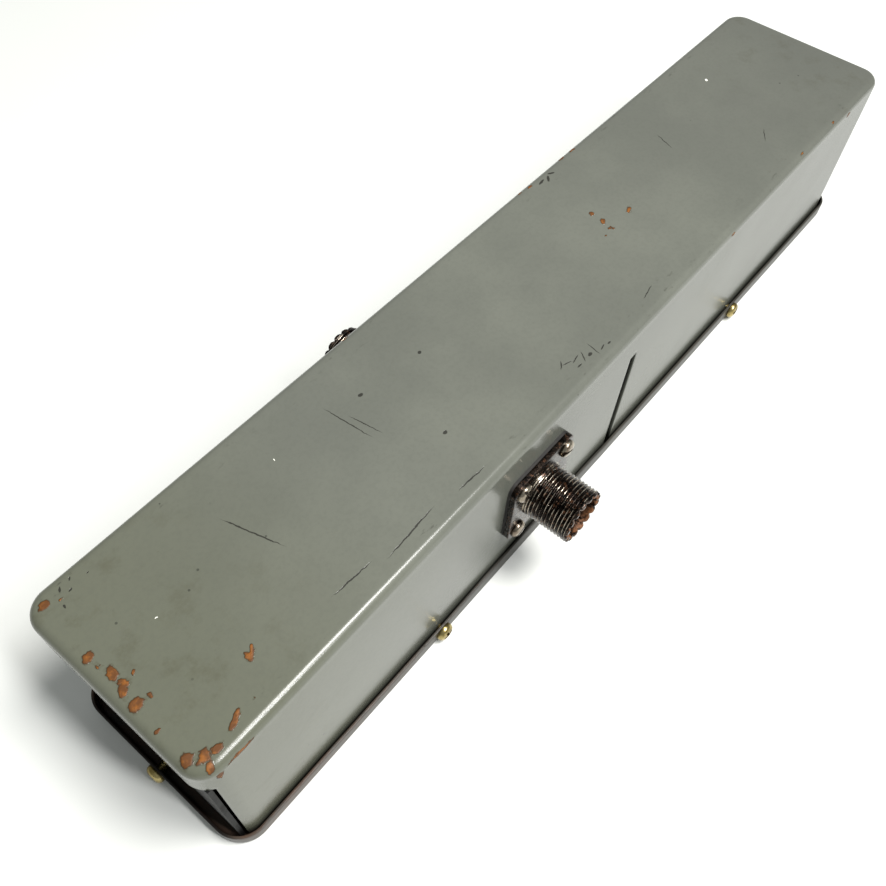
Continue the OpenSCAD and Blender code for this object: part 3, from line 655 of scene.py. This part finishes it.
def make_knob(name, node):
    """Fluted moulded knob with a skirt, a recessed face and a pointer groove."""
    lo, hi = (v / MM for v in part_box(node))
    length = hi.x - lo.x
    skirt_r = (hi.z - lo.z) / 2
    cap_r = skirt_r - 1.4
    flutes = 24

    def fluted(depth, z):
        return lambda a: (cap_r - depth * (0.5 - 0.5 * math.cos(flutes * a)) ** 0.7, z)

    bore = SHAFT_R
    rows = [flat_ring(bore, 0), flat_ring(skirt_r - 0.3, 0), flat_ring(skirt_r, 0.3),
            flat_ring(skirt_r, 2.6), flat_ring(skirt_r - 0.35, 3.2), flat_ring(cap_r, 4.0),
            fluted(0.0, 4.4), fluted(0.7, 5.0), fluted(0.7, length - 1.4),
            fluted(0.3, length - 0.6), flat_ring(cap_r - 0.9, length - 0.1),
            flat_ring(cap_r - 1.6, length), flat_ring(cap_r - 1.9, length - 0.5),
            flat_ring(2.2, length - 0.5), flat_ring(1.9, length - 0.3),
            flat_ring(0.02, length - 0.3),
            flat_ring(0.02, 10), flat_ring(bore, 10)]
    knob = lathe(name, rows, 192)
    place(knob, along_x())
    cut(knob, place(rod("screw_hole", 1.5, 0, 30, 32), shift(2, 0, 0)))
    groove = block("groove", (2.0, -0.35, -skirt_r - 1), (length + 1, 0.35, -skirt_r + 1.0))
    cut(knob, groove)
    place(knob, shift(lo.x, (lo.y + hi.y) / 2, (lo.z + hi.z) / 2))
    smooth(knob)
    return knob


def make_bushings():
    """Threaded panel bushings, one for each control shaft."""
    lo, hi = (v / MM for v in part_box("panel_bushings"))
    length = hi.x - lo.x
    rows = [flat_ring(SHAFT_R + 0.06, 0), flat_ring(5.8, 0), flat_ring(6.0, 0.2),
            flat_ring(6.0, 1.3), flat_ring(5.8, 1.5), flat_ring(BUSHING_R, 1.5)]
    rows += thread_rows(BUSHING_R, 0.35, 0.8, 1.7, length - 0.3, 6)
    rows += [flat_ring(BUSHING_R - 0.35, length), flat_ring(SHAFT_R + 0.3, length),
             flat_ring(SHAFT_R + 0.06, length - 0.25)]
    out = along_x()
    matrices = [shift(lo.x, y, (lo.z + hi.z) / 2) @ out for y in shaft_ys()]
    bushings = repeated("panel_bushings_piece", lambda n: lathe(n, rows, 64), matrices)
    smooth(bushings)
    return bushings


def make_panel_nuts():
    lo, hi = (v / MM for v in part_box("panel_nuts"))
    out = along_x()
    matrices = [shift(lo.x, y, (lo.z + hi.z) / 2) @ out for y in shaft_ys()]
    nuts = repeated("panel_nuts_piece",
                    lambda n: hex_nut(n, 7.0, hi.x - lo.x, BUSHING_R), matrices)
    smooth(nuts)
    return nuts


def along_x():
    """Turns a shape built along +Z to point along +X."""
    return Matrix.Rotation(math.radians(90), 4, "Y")


def shaft_ys():
    return [sum(v.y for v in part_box(node)) / 2 / MM for node in ("coil_knob", "capacitor_knob")]


# ---------------------------------------------------------------- materials

def linear(r, g, b):
    """Scene-linear colour from an 8-bit display colour."""
    def one(c):
        c = c / 255
        return c / 12.92 if c <= 0.04045 else ((c + 0.055) / 1.055) ** 2.4
    return (one(r), one(g), one(b), 1)


class Finish:
    """A node material under construction, with coordinates in millimetres."""

    def __init__(self, name, metallic=0.0, roughness=0.5):
        self.material = bpy.data.materials.new(name)
        self.material.use_nodes = True
        self.tree = self.material.node_tree
        self.shader = self.tree.nodes["Principled BSDF"]
        self.shader.inputs["Metallic"].default_value = metallic
        self.shader.inputs["Roughness"].default_value = roughness
        coords = self.tree.nodes.new("ShaderNodeTexCoord")
        self.mm = self.vector("SCALE", coords.outputs["Object"], scale=1000)

    def feed(self, socket, value):
        if isinstance(value, bpy.types.NodeSocket):
            self.tree.links.new(value, socket)
        else:
            socket.default_value = value

    def vector(self, operation, a, b=(0, 0, 0), scale=1.0):
        node = self.tree.nodes.new("ShaderNodeVectorMath")
        node.operation = operation
        self.feed(node.inputs[0], a)
        if operation == "SCALE":
            node.inputs["Scale"].default_value = scale
        elif operation != "LENGTH":
            self.feed(node.inputs[1], b)
        return node.outputs["Value" if operation == "LENGTH" else "Vector"]

    def math(self, operation, a, b=0.0, clamp=False):
        node = self.tree.nodes.new("ShaderNodeMath")
        node.operation = operation
        node.use_clamp = clamp
        self.feed(node.inputs[0], a)
        self.feed(node.inputs[1], b)
        return node.outputs[0]

    def axis(self, letter):
        node = self.tree.nodes.new("ShaderNodeSeparateXYZ")
        self.feed(node.inputs[0], self.mm)
        return node.outputs[letter]

    def noise(self, per_mm, detail=3.0, rough=0.55, stretch=(1, 1, 1), out="Fac"):
        spot = self.vector("MULTIPLY", self.mm, stretch)
        node = self.tree.nodes.new("ShaderNodeTexNoise")
        node.inputs["Scale"].default_value = per_mm
        node.inputs["Detail"].default_value = detail
        node.inputs["Roughness"].default_value = rough
        self.feed(node.inputs["Vector"], spot)
        return node.outputs[out]

    def cells(self, per_mm):
        node = self.tree.nodes.new("ShaderNodeTexVoronoi")
        node.inputs["Scale"].default_value = per_mm
        self.feed(node.inputs["Vector"], self.mm)
        return node.outputs["Distance"]

    def between(self, value, low, high):
        """0 below low and 1 above high, or the reverse when low is above high."""
        node = self.tree.nodes.new("ShaderNodeMapRange")
        node.interpolation_type = "SMOOTHSTEP"
        self.feed(node.inputs["Value"], value)
        flip = low > high
        node.inputs["From Min"].default_value = min(low, high)
        node.inputs["From Max"].default_value = max(low, high)
        node.inputs["To Min"].default_value = 1 if flip else 0
        node.inputs["To Max"].default_value = 0 if flip else 1
        return node.outputs["Result"]

    def mix(self, factor, a, b):
        node = self.tree.nodes.new("ShaderNodeMix")
        node.data_type = "RGBA"
        self.feed(node.inputs["Factor"], factor)
        self.feed(node.inputs["A"], a)
        self.feed(node.inputs["B"], b)
        return node.outputs["Result"]

    def spots(self, places, source):
        """Distance, in units of their own radii, to the nearest of some ellipsoids.

        A place is (centre, radii, turn about Z in degrees)."""
        nearest = None
        for centre, radii, turn in places:
            node = self.tree.nodes.new("ShaderNodeMapping")
            node.vector_type = "TEXTURE"
            node.inputs["Location"].default_value = centre
            node.inputs["Rotation"].default_value = (0, 0, math.radians(turn))
            node.inputs["Scale"].default_value = radii
            self.feed(node.inputs["Vector"], source)
            reach = self.vector("LENGTH", node.outputs[0])
            nearest = reach if nearest is None else self.math("MINIMUM", nearest, reach)
        return nearest

    def stored(self, name):
        """A value that mark() stored on the mesh."""
        node = self.tree.nodes.new("ShaderNodeAttribute")
        node.attribute_name = name
        return node.outputs["Fac"]

    def warped(self, per_mm, amount, detail=2.0):
        """Coordinates pushed about by noise, so that outlines drawn in them are ragged."""
        shake = self.vector("SUBTRACT", self.noise(per_mm, detail, out="Color"), (0.5, 0.5, 0.5))
        return self.vector("ADD", self.mm, self.vector("SCALE", shake, scale=amount * 2))

    def colour(self, value):
        self.feed(self.shader.inputs["Base Color"], value)

    def roughness(self, value):
        self.feed(self.shader.inputs["Roughness"], value)

    def metallic(self, value):
        self.feed(self.shader.inputs["Metallic"], value)

    def bump(self, layers):
        """Adds up (height in 0 to 1, depth in millimetres) pairs as one bump."""
        total = None
        for height, depth in layers:
            part = self.math("MULTIPLY", height, depth)
            total = part if total is None else self.math("ADD", total, part)
        node = self.tree.nodes.new("ShaderNodeBump")
        node.inputs["Distance"].default_value = MM
        self.feed(node.inputs["Height"], total)
        self.feed(self.shader.inputs["Normal"], node.outputs["Normal"])


TOP_Z = CAD_HI.z / MM
PLAIN_END_X = CAD_LO.x / MM

# Places where the cover's paint is gone, as (x, y, half length, half width, turn).
TOP_CHIPS = [
    (-148, 24.6, 1.4, 1.1, 20), (-144.8, 23, 0.8, 0.6, 0),
    (-149.2, 8.2, 1.6, 1.3, 10), (-149.0, 5.0, 0.8, 1.2, 0), (-148.2, 1.8, 2, 1.4, 60),
    (-147.6, -1.6, 1.3, 1.3, 0), (-149.3, -3.0, 1.1, 1.3, 0), (-149.2, -6.8, 1.9, 1.6, 15),
    (-146.0, -7.6, 1, 0.7, 0), (-145.0, -1.0, 0.5, 0.4, 0), (-149.8, -14, 0.8, 0.6, 0),
    (-150, -22.6, 1.5, 1.3, 40), (-147.4, -24.6, 1.8, 1.3, 10), (-144.8, -25.4, 1.7, 0.9, 5),
    (-148.2, -27.0, 2, 1, 30),
    (-139.0, -24.2, 2.2, 0.8, 10), (-137.2, -23.2, 1, 0.9, 0), (-133, -23.4, 0.8, 0.5, 0),
    (-127.5, -16.3, 1.6, 1.3, 25), (-125.9, -15.2, 0.8, 0.7, 0), (-122.5, -15.4, 0.5, 0.4, 0),
    (-124, 16.5, 0.7, 0.5, 0), (-142, -0.5, 0.4, 0.4, 0),
    (29.5, 6.3, 1.2, 0.9, 0), (29, 2.0, 1.4, 1, 50), (28.3, -1.4, 1.2, 0.7, -40),
    (38, -1.0, 1.8, 1.1, 20), (40.4, -0.4, 0.7, 0.5, 0), (24.6, -1.8, 0.7, 0.5, 0),
    (49.5, 27.4, 1.4, 0.7, 0), (44.5, 27.6, 1.8, 0.6, 0),
    (27, 26.8, 1.3, 0.6, 0), (23, 27.5, 1.1, 0.6, 0), (-52, 27.8, 1.3, 0.5, 0),
    (96, -27.2, 1.4, 0.5, 0), (117, -27.4, 0.9, 0.5, 0),
]
# Dark scratches and specks on the top face, in the same form.
TOP_SCRATCHES = [
    (-22.5, -20, 1.6, 0.2, 35), (-20.8, -20.8, 1.9, 0.16, -20), (-18.4, -21.6, 1.7, 0.2, 15),
    (-16.4, -22.6, 1.8, 0.18, 55), (-14.5, -23.4, 0.8, 0.5, 0), (-12.4, -23.0, 2.4, 0.14, 80),
    (-19.4, -23.6, 1.0, 0.3, 0), (-10.4, -24.6, 1.2, 0.2, 10), (-8.0, -25.0, 0.7, 0.3, 0),
    (-71.3, 8.5, 7.6, 0.16, 96), (-68.8, 5.0, 5.0, 0.14, 100), (-107.2, 4.0, 8.4, 0.2, 106),
    (-63, 12, 0.8, 0.6, 0), (-58, -11, 0.7, 0.5, 0), (-43, 10, 0.7, 0.5, 0),
    (-101, -20.5, 6.0, 0.22, -4), (-84, -22.6, 8.5, 0.25, 3), (-64, -24, 5.0, 0.2, -3),
    (33.6, 24.8, 1.4, 0.5, 40), (36.2, 25.6, 1.2, 0.4, -30), (31.0, 25.4, 1.5, 0.45, 10),
    (-143.5, 25, 0.8, 0.25, 60), (-142, 23.2, 0.6, 0.25, 20), (-145.2, 21, 0.6, 0.3, 80),
    (-140.5, 25.5, 0.5, 0.2, 40), (-137, 23.8, 0.4, 0.2, 10),
    (14, -22.8, 3.0, 0.18, 12), (72, 8, 4.0, 0.14, 70), (96, -14, 3.2, 0.14, 35),
]
# Pale specks on the top face.
TOP_SPECKS = [(-134.5, 4.5, 0.3, 0.2, 0), (109, 14.5, 0.8, 0.4, 20), (-90, 14, 0.2, 0.2, 0)]
# Rust marks on the output wall, as (x, z, half length, half height).
WALL_CHIPS = [(-142, 55.3, 3.6, 0.7), (-147.5, 53.5, 1.0, 2.0), (-143, 28.5, 0.7, 0.6),
              (-149, 20, 0.5, 2.2), (52, 55.5, 1.2, 0.6), (128, 54.8, 1.4, 0.7)]


def on_top(marks):
    return [((x, y, TOP_Z), (a, b, 2.2), turn) for x, y, a, b, turn in marks]


def on_wall(marks):
    y = -COVER_HALF_W
    return [((x, y, z), (a, 1.0, c), 0) for x, z, a, c in marks]


def cover_paint():
    """Grey-olive enamel, chipped to brown rust at the ends and scratched along the edges, with
    painted shade on the walls, at their foot and towards the control end.
    """
    f = Finish("cover_paint", roughness=0.2)
    x = f.axis("X")
    y = f.axis("Y")
    z = f.axis("Z")
    cloud = f.noise(0.018, 4, 0.6)
    grain = f.noise(0.9, 3, 0.6)
    tone = f.mix(f.between(cloud, 0.35, 0.68), linear(89, 91, 84), linear(97, 99, 91))
    green = f.math("MULTIPLY", f.between(x, -70, -150), 0.75)
    tone = f.mix(green, tone, linear(83, 85, 71))
    tone = f.mix(f.math("MULTIPLY", f.between(grain, 0.4, 0.7), 0.12), tone, linear(70, 72, 66))
    edge = f.math("MULTIPLY", f.between(f.math("ABSOLUTE", y), 20.5, 26.5),
                  f.between(z, TOP_Z - 1.5, TOP_Z - 0.5))
    streaks = f.noise(0.55, 6, 0.75, stretch=(0.35, 1.2, 1))
    scuff = f.math("MULTIPLY", edge, f.between(streaks, 0.6, 0.68))
    tone = f.mix(f.math("MULTIPLY", scuff, 0.6), tone, linear(44, 44, 36))
    grime = f.math("MULTIPLY", f.between(f.noise(0.12, 6, 0.7), 0.5, 0.72),
                   f.between(f.math("ABSOLUTE", x), 90, 150))
    tone = f.mix(f.math("MULTIPLY", grime, 0.4), tone, linear(66, 64, 48))
    # Painted shade: the paint darkens from the middle towards the control end.
    painted_far_shade = f.math("MULTIPLY", f.between(x, 20, 150), 0.45)
    tone = f.mix(painted_far_shade, tone, linear(72, 73, 68))
    # Painted shade: the walls below the top are darkened over their middle and far part.
    wall = f.math("MULTIPLY", f.between(z, TOP_Z - 1, TOP_Z - 4), f.between(x, -130, -20))
    tone = f.mix(f.math("MULTIPLY", wall, 0.22), tone, linear(56, 57, 52))
    # Painted shade: the paint darkens towards the bottom of the walls, next to the tray's rim.
    painted_foot_shade = f.between(z, 11, 5)
    tone = f.mix(f.math("MULTIPLY", painted_foot_shade, 0.5), tone, linear(50, 50, 44))

    ragged = f.warped(0.45, 1.3, 4.0)
    bite = f.math("MULTIPLY", f.math("SUBTRACT", f.noise(0.5, 2, 0.5), 0.45), 1.7)
    chips = f.math("ADD", f.stored("chips"), bite)
    scratches = f.spots(on_top(TOP_SCRATCHES), f.warped(0.6, 0.35, 2.0))
    specks = f.spots(on_top(TOP_SPECKS), ragged)
    dots = f.math("MULTIPLY", f.between(f.cells(0.12), 0.045, 0.03),
                  f.between(f.noise(0.05, 1), 0.48, 0.55))
    chip_mask = f.between(chips, 1.0, 0.9)
    halo = f.between(chips, 1.22, 1.0)
    rust_noise = f.noise(0.5, 3, 0.5)
    rust = f.mix(f.between(rust_noise, 0.4, 0.62), linear(82, 47, 12), linear(118, 70, 18))
    rust = f.mix(f.between(chips, 0.7, 1.0), rust, linear(46, 32, 15))
    tone = f.mix(f.math("MULTIPLY", halo, 0.3), tone, linear(60, 56, 38))
    tone = f.mix(chip_mask, tone, rust)
    scratch_mask = f.between(scratches, 1.1, 0.7)
    tone = f.mix(f.math("MULTIPLY", scratch_mask, 0.9), tone, linear(28, 27, 22))
    tone = f.mix(f.math("MULTIPLY", dots, 0.6), tone, linear(36, 38, 34))
    tone = f.mix(f.between(specks, 1.0, 0.8), tone, linear(214, 214, 204))
    f.colour(tone)
    worn = f.math("MAXIMUM", chip_mask, f.math("MULTIPLY", scratch_mask, 0.6))
    haze = f.math("ADD", f.math("MULTIPLY", cloud, 0.14), 0.15)
    haze = f.math("ADD", haze, f.math("MULTIPLY", scuff, 0.2))
    f.roughness(f.math("ADD", haze, f.math("MULTIPLY", worn, 0.35), clamp=True))
    shine = f.math("SUBTRACT", 0.34, f.math("MULTIPLY", f.between(z, TOP_Z - 1, TOP_Z - 5), 0.15))
    f.feed(f.shader.inputs["Specular IOR Level"], shine)
    low = f.noise(0.03, 1, 0.4)
    f.bump([(low, 0.35), (f.noise(1.6, 2), 0.012),
            (f.between(chips, 1.1, 0.6), 0.12), (scratch_mask, -0.04),
            (f.math("MULTIPLY", rust_noise, chip_mask), 0.1)])
    return f.material


def bare_edge():
    """Cut edge of the sheet: paint rubbed through to dull steel."""
    f = Finish("bare_edge", metallic=0.55, roughness=0.38)
    wear = f.between(f.noise(0.35, 4, 0.6), 0.42, 0.6)
    f.colour(f.mix(wear, linear(92, 88, 80), linear(140, 134, 124)))
    f.roughness(f.math("ADD", f.math("MULTIPLY", wear, -0.12), 0.45))
    f.bump([(f.noise(1.5, 3), 0.03)])
    return f.material


def tray_paint():
    """The cover's enamel, rubbed pinkish brown towards the plain end, with painted shade on the
    plain end's rim.
    """
    f = Finish("tray_paint", roughness=0.34)
    x = f.axis("X")
    cloud = f.noise(0.05, 4, 0.6)
    tone = f.mix(f.between(cloud, 0.35, 0.65), linear(48, 47, 43), linear(60, 58, 53))
    wear = f.math("MULTIPLY", f.between(x, -60, -140), f.between(f.noise(0.14, 5, 0.7), 0.32, 0.6))
    tone = f.mix(wear, tone, linear(66, 52, 43))
    # Painted shade: the rim at the plain end is painted near black.
    painted_end_shade = f.between(x, PLAIN_END_X + 4.5, PLAIN_END_X + 2.0)
    tone = f.mix(f.math("MULTIPLY", painted_end_shade, 0.92), tone, linear(20, 17, 16))
    flecks = f.between(f.noise(0.7, 4, 0.7), 0.6, 0.68)
    tone = f.mix(f.math("MULTIPLY", flecks, 0.5), tone, linear(56, 42, 32))
    f.colour(tone)
    f.shader.inputs["Specular IOR Level"].default_value = 0.15
    f.roughness(f.math("ADD", f.math("MULTIPLY", cloud, 0.2), 0.24))
    f.bump([(f.noise(0.05, 2), 0.2), (f.noise(1.6, 2), 0.012), (flecks, -0.04)])
    return f.material


def inner_shade_paint():
    """Painted shade on the inside of the case: a near-black coat, with flecks of overspray and
    dust.
    """
    f = Finish("inner_shade_paint", roughness=0.6)
    cloud = f.noise(0.06, 4, 0.6)
    # Painted shade: the inside faces are near black, where the inside of the case lies in shade.
    tone = f.mix(f.between(cloud, 0.35, 0.65), linear(24, 22, 21), linear(46, 44, 41))
    flecks = f.between(f.noise(1.1, 4, 0.7), 0.58, 0.7)
    f.colour(f.mix(f.math("MULTIPLY", flecks, 0.4), tone, linear(74, 62, 50)))
    f.shader.inputs["Specular IOR Level"].default_value = 0.25
    f.roughness(f.math("ADD", f.math("MULTIPLY", cloud, 0.2), 0.5))
    f.bump([(f.noise(1.8, 2), 0.02), (cloud, 0.1)])
    return f.material


def black_paint():
    f = Finish("black_paint", roughness=0.55)
    dust = f.between(f.noise(0.2, 5, 0.7), 0.45, 0.75)
    f.colour(f.mix(f.math("MULTIPLY", dust, 0.3), linear(6, 6, 6), linear(26, 24, 22)))
    f.shader.inputs["Specular IOR Level"].default_value = 0.2
    f.roughness(f.math("ADD", f.math("MULTIPLY", dust, 0.2), 0.6))
    f.bump([(f.noise(2.0, 3), 0.02)])
    return f.material


def tarnished_nickel():
    """Old nickel plate gone brown-black, with rust in the roots and bright crests, rubbed through
    and with a painted highlight.
    """
    f = Finish("tarnished_nickel", metallic=0.9, roughness=0.35)
    flat = f.vector("MULTIPLY", f.mm, (1, 1, 0))
    reach = f.vector("LENGTH", flat)
    height = f.axis("Z")
    blotch = f.noise(0.55, 5, 0.65)
    tone = f.mix(f.between(blotch, 0.38, 0.62), linear(12, 10, 9), linear(50, 42, 37))
    # The thread crests are painted bright: rubbed-through nickel, and a painted highlight along
    # them.
    crest = f.math("MULTIPLY", f.between(reach, BARREL_R - 0.12, BARREL_R - 0.02),
                   f.between(reach, BARREL_R + 0.5, BARREL_R + 0.2))
    shine = f.math("MULTIPLY", crest, f.between(f.noise(0.35, 3), 0.4, 0.6))
    tone = f.mix(f.math("MULTIPLY", shine, 0.85), tone, linear(190, 180, 164))
    rust_spots = f.between(f.noise(0.9, 5, 0.7), 0.54, 0.64)
    mouth = f.between(height, FLANGE_T + BARREL_L - 3.0, FLANGE_T + BARREL_L - 0.8)
    inside = f.math("MULTIPLY", mouth, f.between(reach, BARREL_R - 0.5, BORE_R + 0.5))
    rust = f.math("MAXIMUM", f.math("MULTIPLY", rust_spots, 0.45),
                  f.math("MULTIPLY", inside, f.between(f.noise(0.4, 4), 0.4, 0.55)))
    tone = f.mix(rust, tone, linear(104, 64, 32))
    pits = f.between(f.noise(2.2, 4, 0.7), 0.6, 0.68)
    tone = f.mix(f.math("MULTIPLY", pits, 0.8), tone, linear(10, 8, 8))
    f.colour(tone)
    f.metallic(f.math("SUBTRACT", 0.92, f.math("MULTIPLY", rust, 0.75)))
    f.roughness(f.math("ADD", f.math("MULTIPLY", f.noise(0.8, 4), 0.3),
                       f.math("ADD", f.math("MULTIPLY", rust, 0.35), 0.1), clamp=True))
    f.bump([(f.noise(1.3, 4, 0.65), 0.07), (pits, -0.05)])
    return f.material


def metal(name, dark, light, roughness, grain=0.6, stretch=(1, 1, 1), tarnish=None):
    """A metal with cloudy tone, brushed or cast grain and, where wanted, tarnish."""
    f = Finish(name, metallic=1.0, roughness=roughness)
    cloud = f.noise(0.22, 4, 0.6)
    tone = f.mix(f.between(cloud, 0.35, 0.65), linear(*dark), linear(*light))
    if tarnish:
        spots = f.between(f.noise(0.6, 5, 0.7), 0.52, 0.66)
        tone = f.mix(f.math("MULTIPLY", spots, 0.75), tone, linear(*tarnish))
    f.colour(tone)
    brushed = f.noise(grain, 3, 0.6, stretch=stretch)
    f.roughness(f.math("ADD", f.math("MULTIPLY", brushed, 0.2), roughness - 0.1))
    f.bump([(brushed, 0.012), (f.noise(0.3, 3), 0.03)])
    return f.material


def plain(name, dark, light, roughness, per_mm=0.4, depth=0.03):
    """A moulded or fired material with a mottled tone and a fine skin."""
    f = Finish(name, roughness=roughness)
    cloud = f.noise(per_mm, 4, 0.65)
    f.colour(f.mix(f.between(cloud, 0.35, 0.68), linear(*dark), linear(*light)))
    f.roughness(f.math("ADD", f.math("MULTIPLY", cloud, 0.18), roughness - 0.09))
    f.bump([(f.noise(3.0, 3), depth), (cloud, depth)])
    return f.material


def floor_material():
    f = Finish("floor", roughness=0.5)
    tone = f.mix(f.noise(0.004, 3), linear(204, 206, 203), linear(210, 211, 208))
    f.colour(tone)
    f.roughness(f.math("ADD", f.math("MULTIPLY", f.noise(0.05, 3), 0.1), 0.45))
    return f.material


def make_materials():
    brushed = (1, 1, 12)
    return {
        "cover_paint": cover_paint(),
        "bare_edge": bare_edge(),
        "tray_paint": tray_paint(),
        "inner_shade_paint": inner_shade_paint(),
        "black_paint": black_paint(),
        "tarnished_nickel": tarnished_nickel(),
        "brass_screw": metal("brass_screw", (128, 112, 66), (186, 170, 118), 0.3,
                             tarnish=(84, 64, 34)),
        "plated_steel": metal("plated_steel", (116, 104, 92), (176, 168, 152), 0.28,
                              tarnish=(74, 50, 34)),
        "sheet_aluminium": metal("sheet_aluminium", (150, 150, 150), (186, 186, 186), 0.38,
                                 stretch=brushed),
        "plate_aluminium": metal("plate_aluminium", (176, 178, 180), (206, 207, 208), 0.26),
        "contact_brass": metal("contact_brass", (160, 132, 70), (206, 176, 104), 0.24,
                               tarnish=(110, 84, 44)),
        "tinned_lug": metal("tinned_lug", (168, 166, 160), (206, 204, 196), 0.32),
        "copper_wire": metal("copper_wire", (150, 84, 52), (196, 120, 78), 0.27,
                             tarnish=(96, 56, 40)),
        "shaft_steel": metal("shaft_steel", (150, 149, 147), (196, 195, 192), 0.22,
                             stretch=(8, 1, 1)),
        "black_rubber": plain("black_rubber", (20, 20, 20), (38, 37, 36), 0.62),
        "black_gasket": plain("black_gasket", (14, 13, 12), (34, 31, 28), 0.7),
        "phenolic": plain("phenolic", (70, 38, 18), (112, 66, 34), 0.42, 0.8),
        "capacitor_case": plain("capacitor_case", (104, 44, 24), (132, 62, 34), 0.3, 0.3),
        "steatite": plain("steatite", (206, 198, 180), (226, 220, 204), 0.34, 0.2, 0.02),
        "knob_plastic": plain("knob_plastic", (13, 13, 14), (26, 26, 27), 0.48, 0.5, 0.02),
    }


# ---------------------------------------------------------------- building the object

def lay(obj, body, nodes, slot, *materials):
    """Sets a new piece's materials, and says what it rides on and stands for."""
    obj.data.materials.clear()
    for m in materials:
        obj.data.materials.append(m)
    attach(obj, body)
    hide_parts(*nodes)


def dress_cad_nodes(finishes):
    """Gives every CAD node the finish of its material slot."""
    for part in frame["record"]["subparts"]:
        slot = part["material_slot"].replace("case_paint", "cover_paint")
        node = frame["nodes"][part["node"]]
        node.data.materials.clear()
        node.data.materials.append(finishes[slot])


TRAY_SCREW_X = 79.0
COVER_HALF_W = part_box("top_cover")[1].y / MM


def build(finishes):
    shell_lo, shell_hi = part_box("output_shell")
    socket_x = (shell_lo.x + shell_hi.x) / 2 / MM
    socket_z = (shell_lo.z + shell_hi.z) / 2 / MM
    screw_lo, screw_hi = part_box("tray_screws")
    screw_z = (screw_lo.z + screw_hi.z) / 2 / MM

    cover = make_cover(socket_x, socket_z, TRAY_SCREW_X, screw_z)
    lay(cover, "case", ["top_cover"], "case_paint", finishes["cover_paint"],
        finishes["bare_edge"], finishes["inner_shade_paint"])
    tray = make_tray(TRAY_SCREW_X, screw_z)
    lay(tray, "case", ["bottom_tray"], "tray_paint", finishes["tray_paint"],
        finishes["bare_edge"], finishes["inner_shade_paint"])
    lay(make_tray_screws(), "case", ["tray_screws"], "brass_screw", finishes["brass_screw"])

    output_back = shell_hi.y / MM - BOSS_L
    input_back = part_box("input_shell")[0].y / MM + BOSS_L
    gasket_t = 0.8
    sockets = [make_socket("output", output_back, -1, FLANGE_T, -gasket_t - SHEET_T),
               make_socket("input", input_back, 1, FLANGE_T + SHEET_T, 0)]
    looks = {"shell": "tarnished_nickel", "insulator": "phenolic", "contact": "contact_brass",
             "screws": "plated_steel", "nuts": "plated_steel"}
    for pieces in sockets:
        for part, obj in pieces.items():
            obj.data.materials.clear()
            obj.data.materials.append(finishes[looks[part]])

    lay(make_winding(), "coil_rotor", ["coil_winding"], "copper_wire", finishes["copper_wire"])
    lay(make_knob("coil_knob_piece", "coil_knob"), "coil_rotor", ["coil_knob"],
        "knob_plastic", finishes["knob_plastic"])
    lay(make_knob("capacitor_knob_piece", "capacitor_knob"), "capacitor_rotor",
        ["capacitor_knob"], "knob_plastic", finishes["knob_plastic"])
    lay(make_bushings(), "case", ["panel_bushings"], "contact_brass",
        finishes["contact_brass"])
    lay(make_panel_nuts(), "case", ["panel_nuts"], "plated_steel", finishes["plated_steel"])


# ---------------------------------------------------------------- floor, light and camera

def make_floor(material):
    half = 3000
    z = CAD_LO.z / MM
    floor = new_object("floor", [(-half, -half, z), (half, -half, z), (half, half, z),
                                 (-half, half, z)], [(0, 1, 2, 3)])
    floor.data.materials.append(material)


def area_light(name, place_at, aim, size, power, tint=(1, 1, 1)):
    data = bpy.data.lights.new(name, "AREA")
    data.shape = "ELLIPSE"
    data.size, data.size_y = size
    data.energy = power
    data.color = tint
    obj = bpy.data.objects.new(name, data)
    obj.location = place_at
    obj.rotation_euler = (Vector(aim) - Vector(place_at)).to_track_quat("-Z", "Y").to_euler()
    bpy.context.scene.collection.objects.link(obj)


def make_light():
    """A soft key from the control end, and a narrow strip that lights the near bend."""
    warm = (1.0, 0.985, 0.965)
    area_light("key", (0.24, -0.47, 1.35), (0, 0, 0), (0.5, 0.5), 28.5, warm)
    area_light("strip", (-0.02, -0.62, 0.85), (-0.13, 0, 0), (0.08, 0.4), 7)
    world = bpy.data.worlds.new("studio")
    world.use_nodes = True
    sky = world.node_tree.nodes["Background"]
    sky.inputs["Color"].default_value = (0.93, 0.97, 0.95, 1)
    sky.inputs["Strength"].default_value = 0.4
    bpy.context.scene.world = world


def make_camera():
    """The photograph's view, down on the plain end and the output wall."""
    data = bpy.data.cameras.new("camera")
    data.sensor_width = 36
    data.lens = 36.14
    data.shift_x = 0.0102
    data.shift_y = 0.0242
    data.clip_start = 0.01
    camera = bpy.data.objects.new("camera", data)
    camera.location = (-0.1570, -0.0850, 0.2327)
    camera.rotation_euler = [math.radians(a) for a in (33.06, -1.40, -49.99)]
    bpy.context.scene.collection.objects.link(camera)
    bpy.context.scene.camera = camera


def main():
    bpy.context.scene.view_settings.view_transform = "Standard"
    finishes = make_materials()
    dress_cad_nodes(finishes)
    build(finishes)
    make_floor(floor_material())
    make_light()
    make_camera()
    bpy.context.view_layer.update()


main()
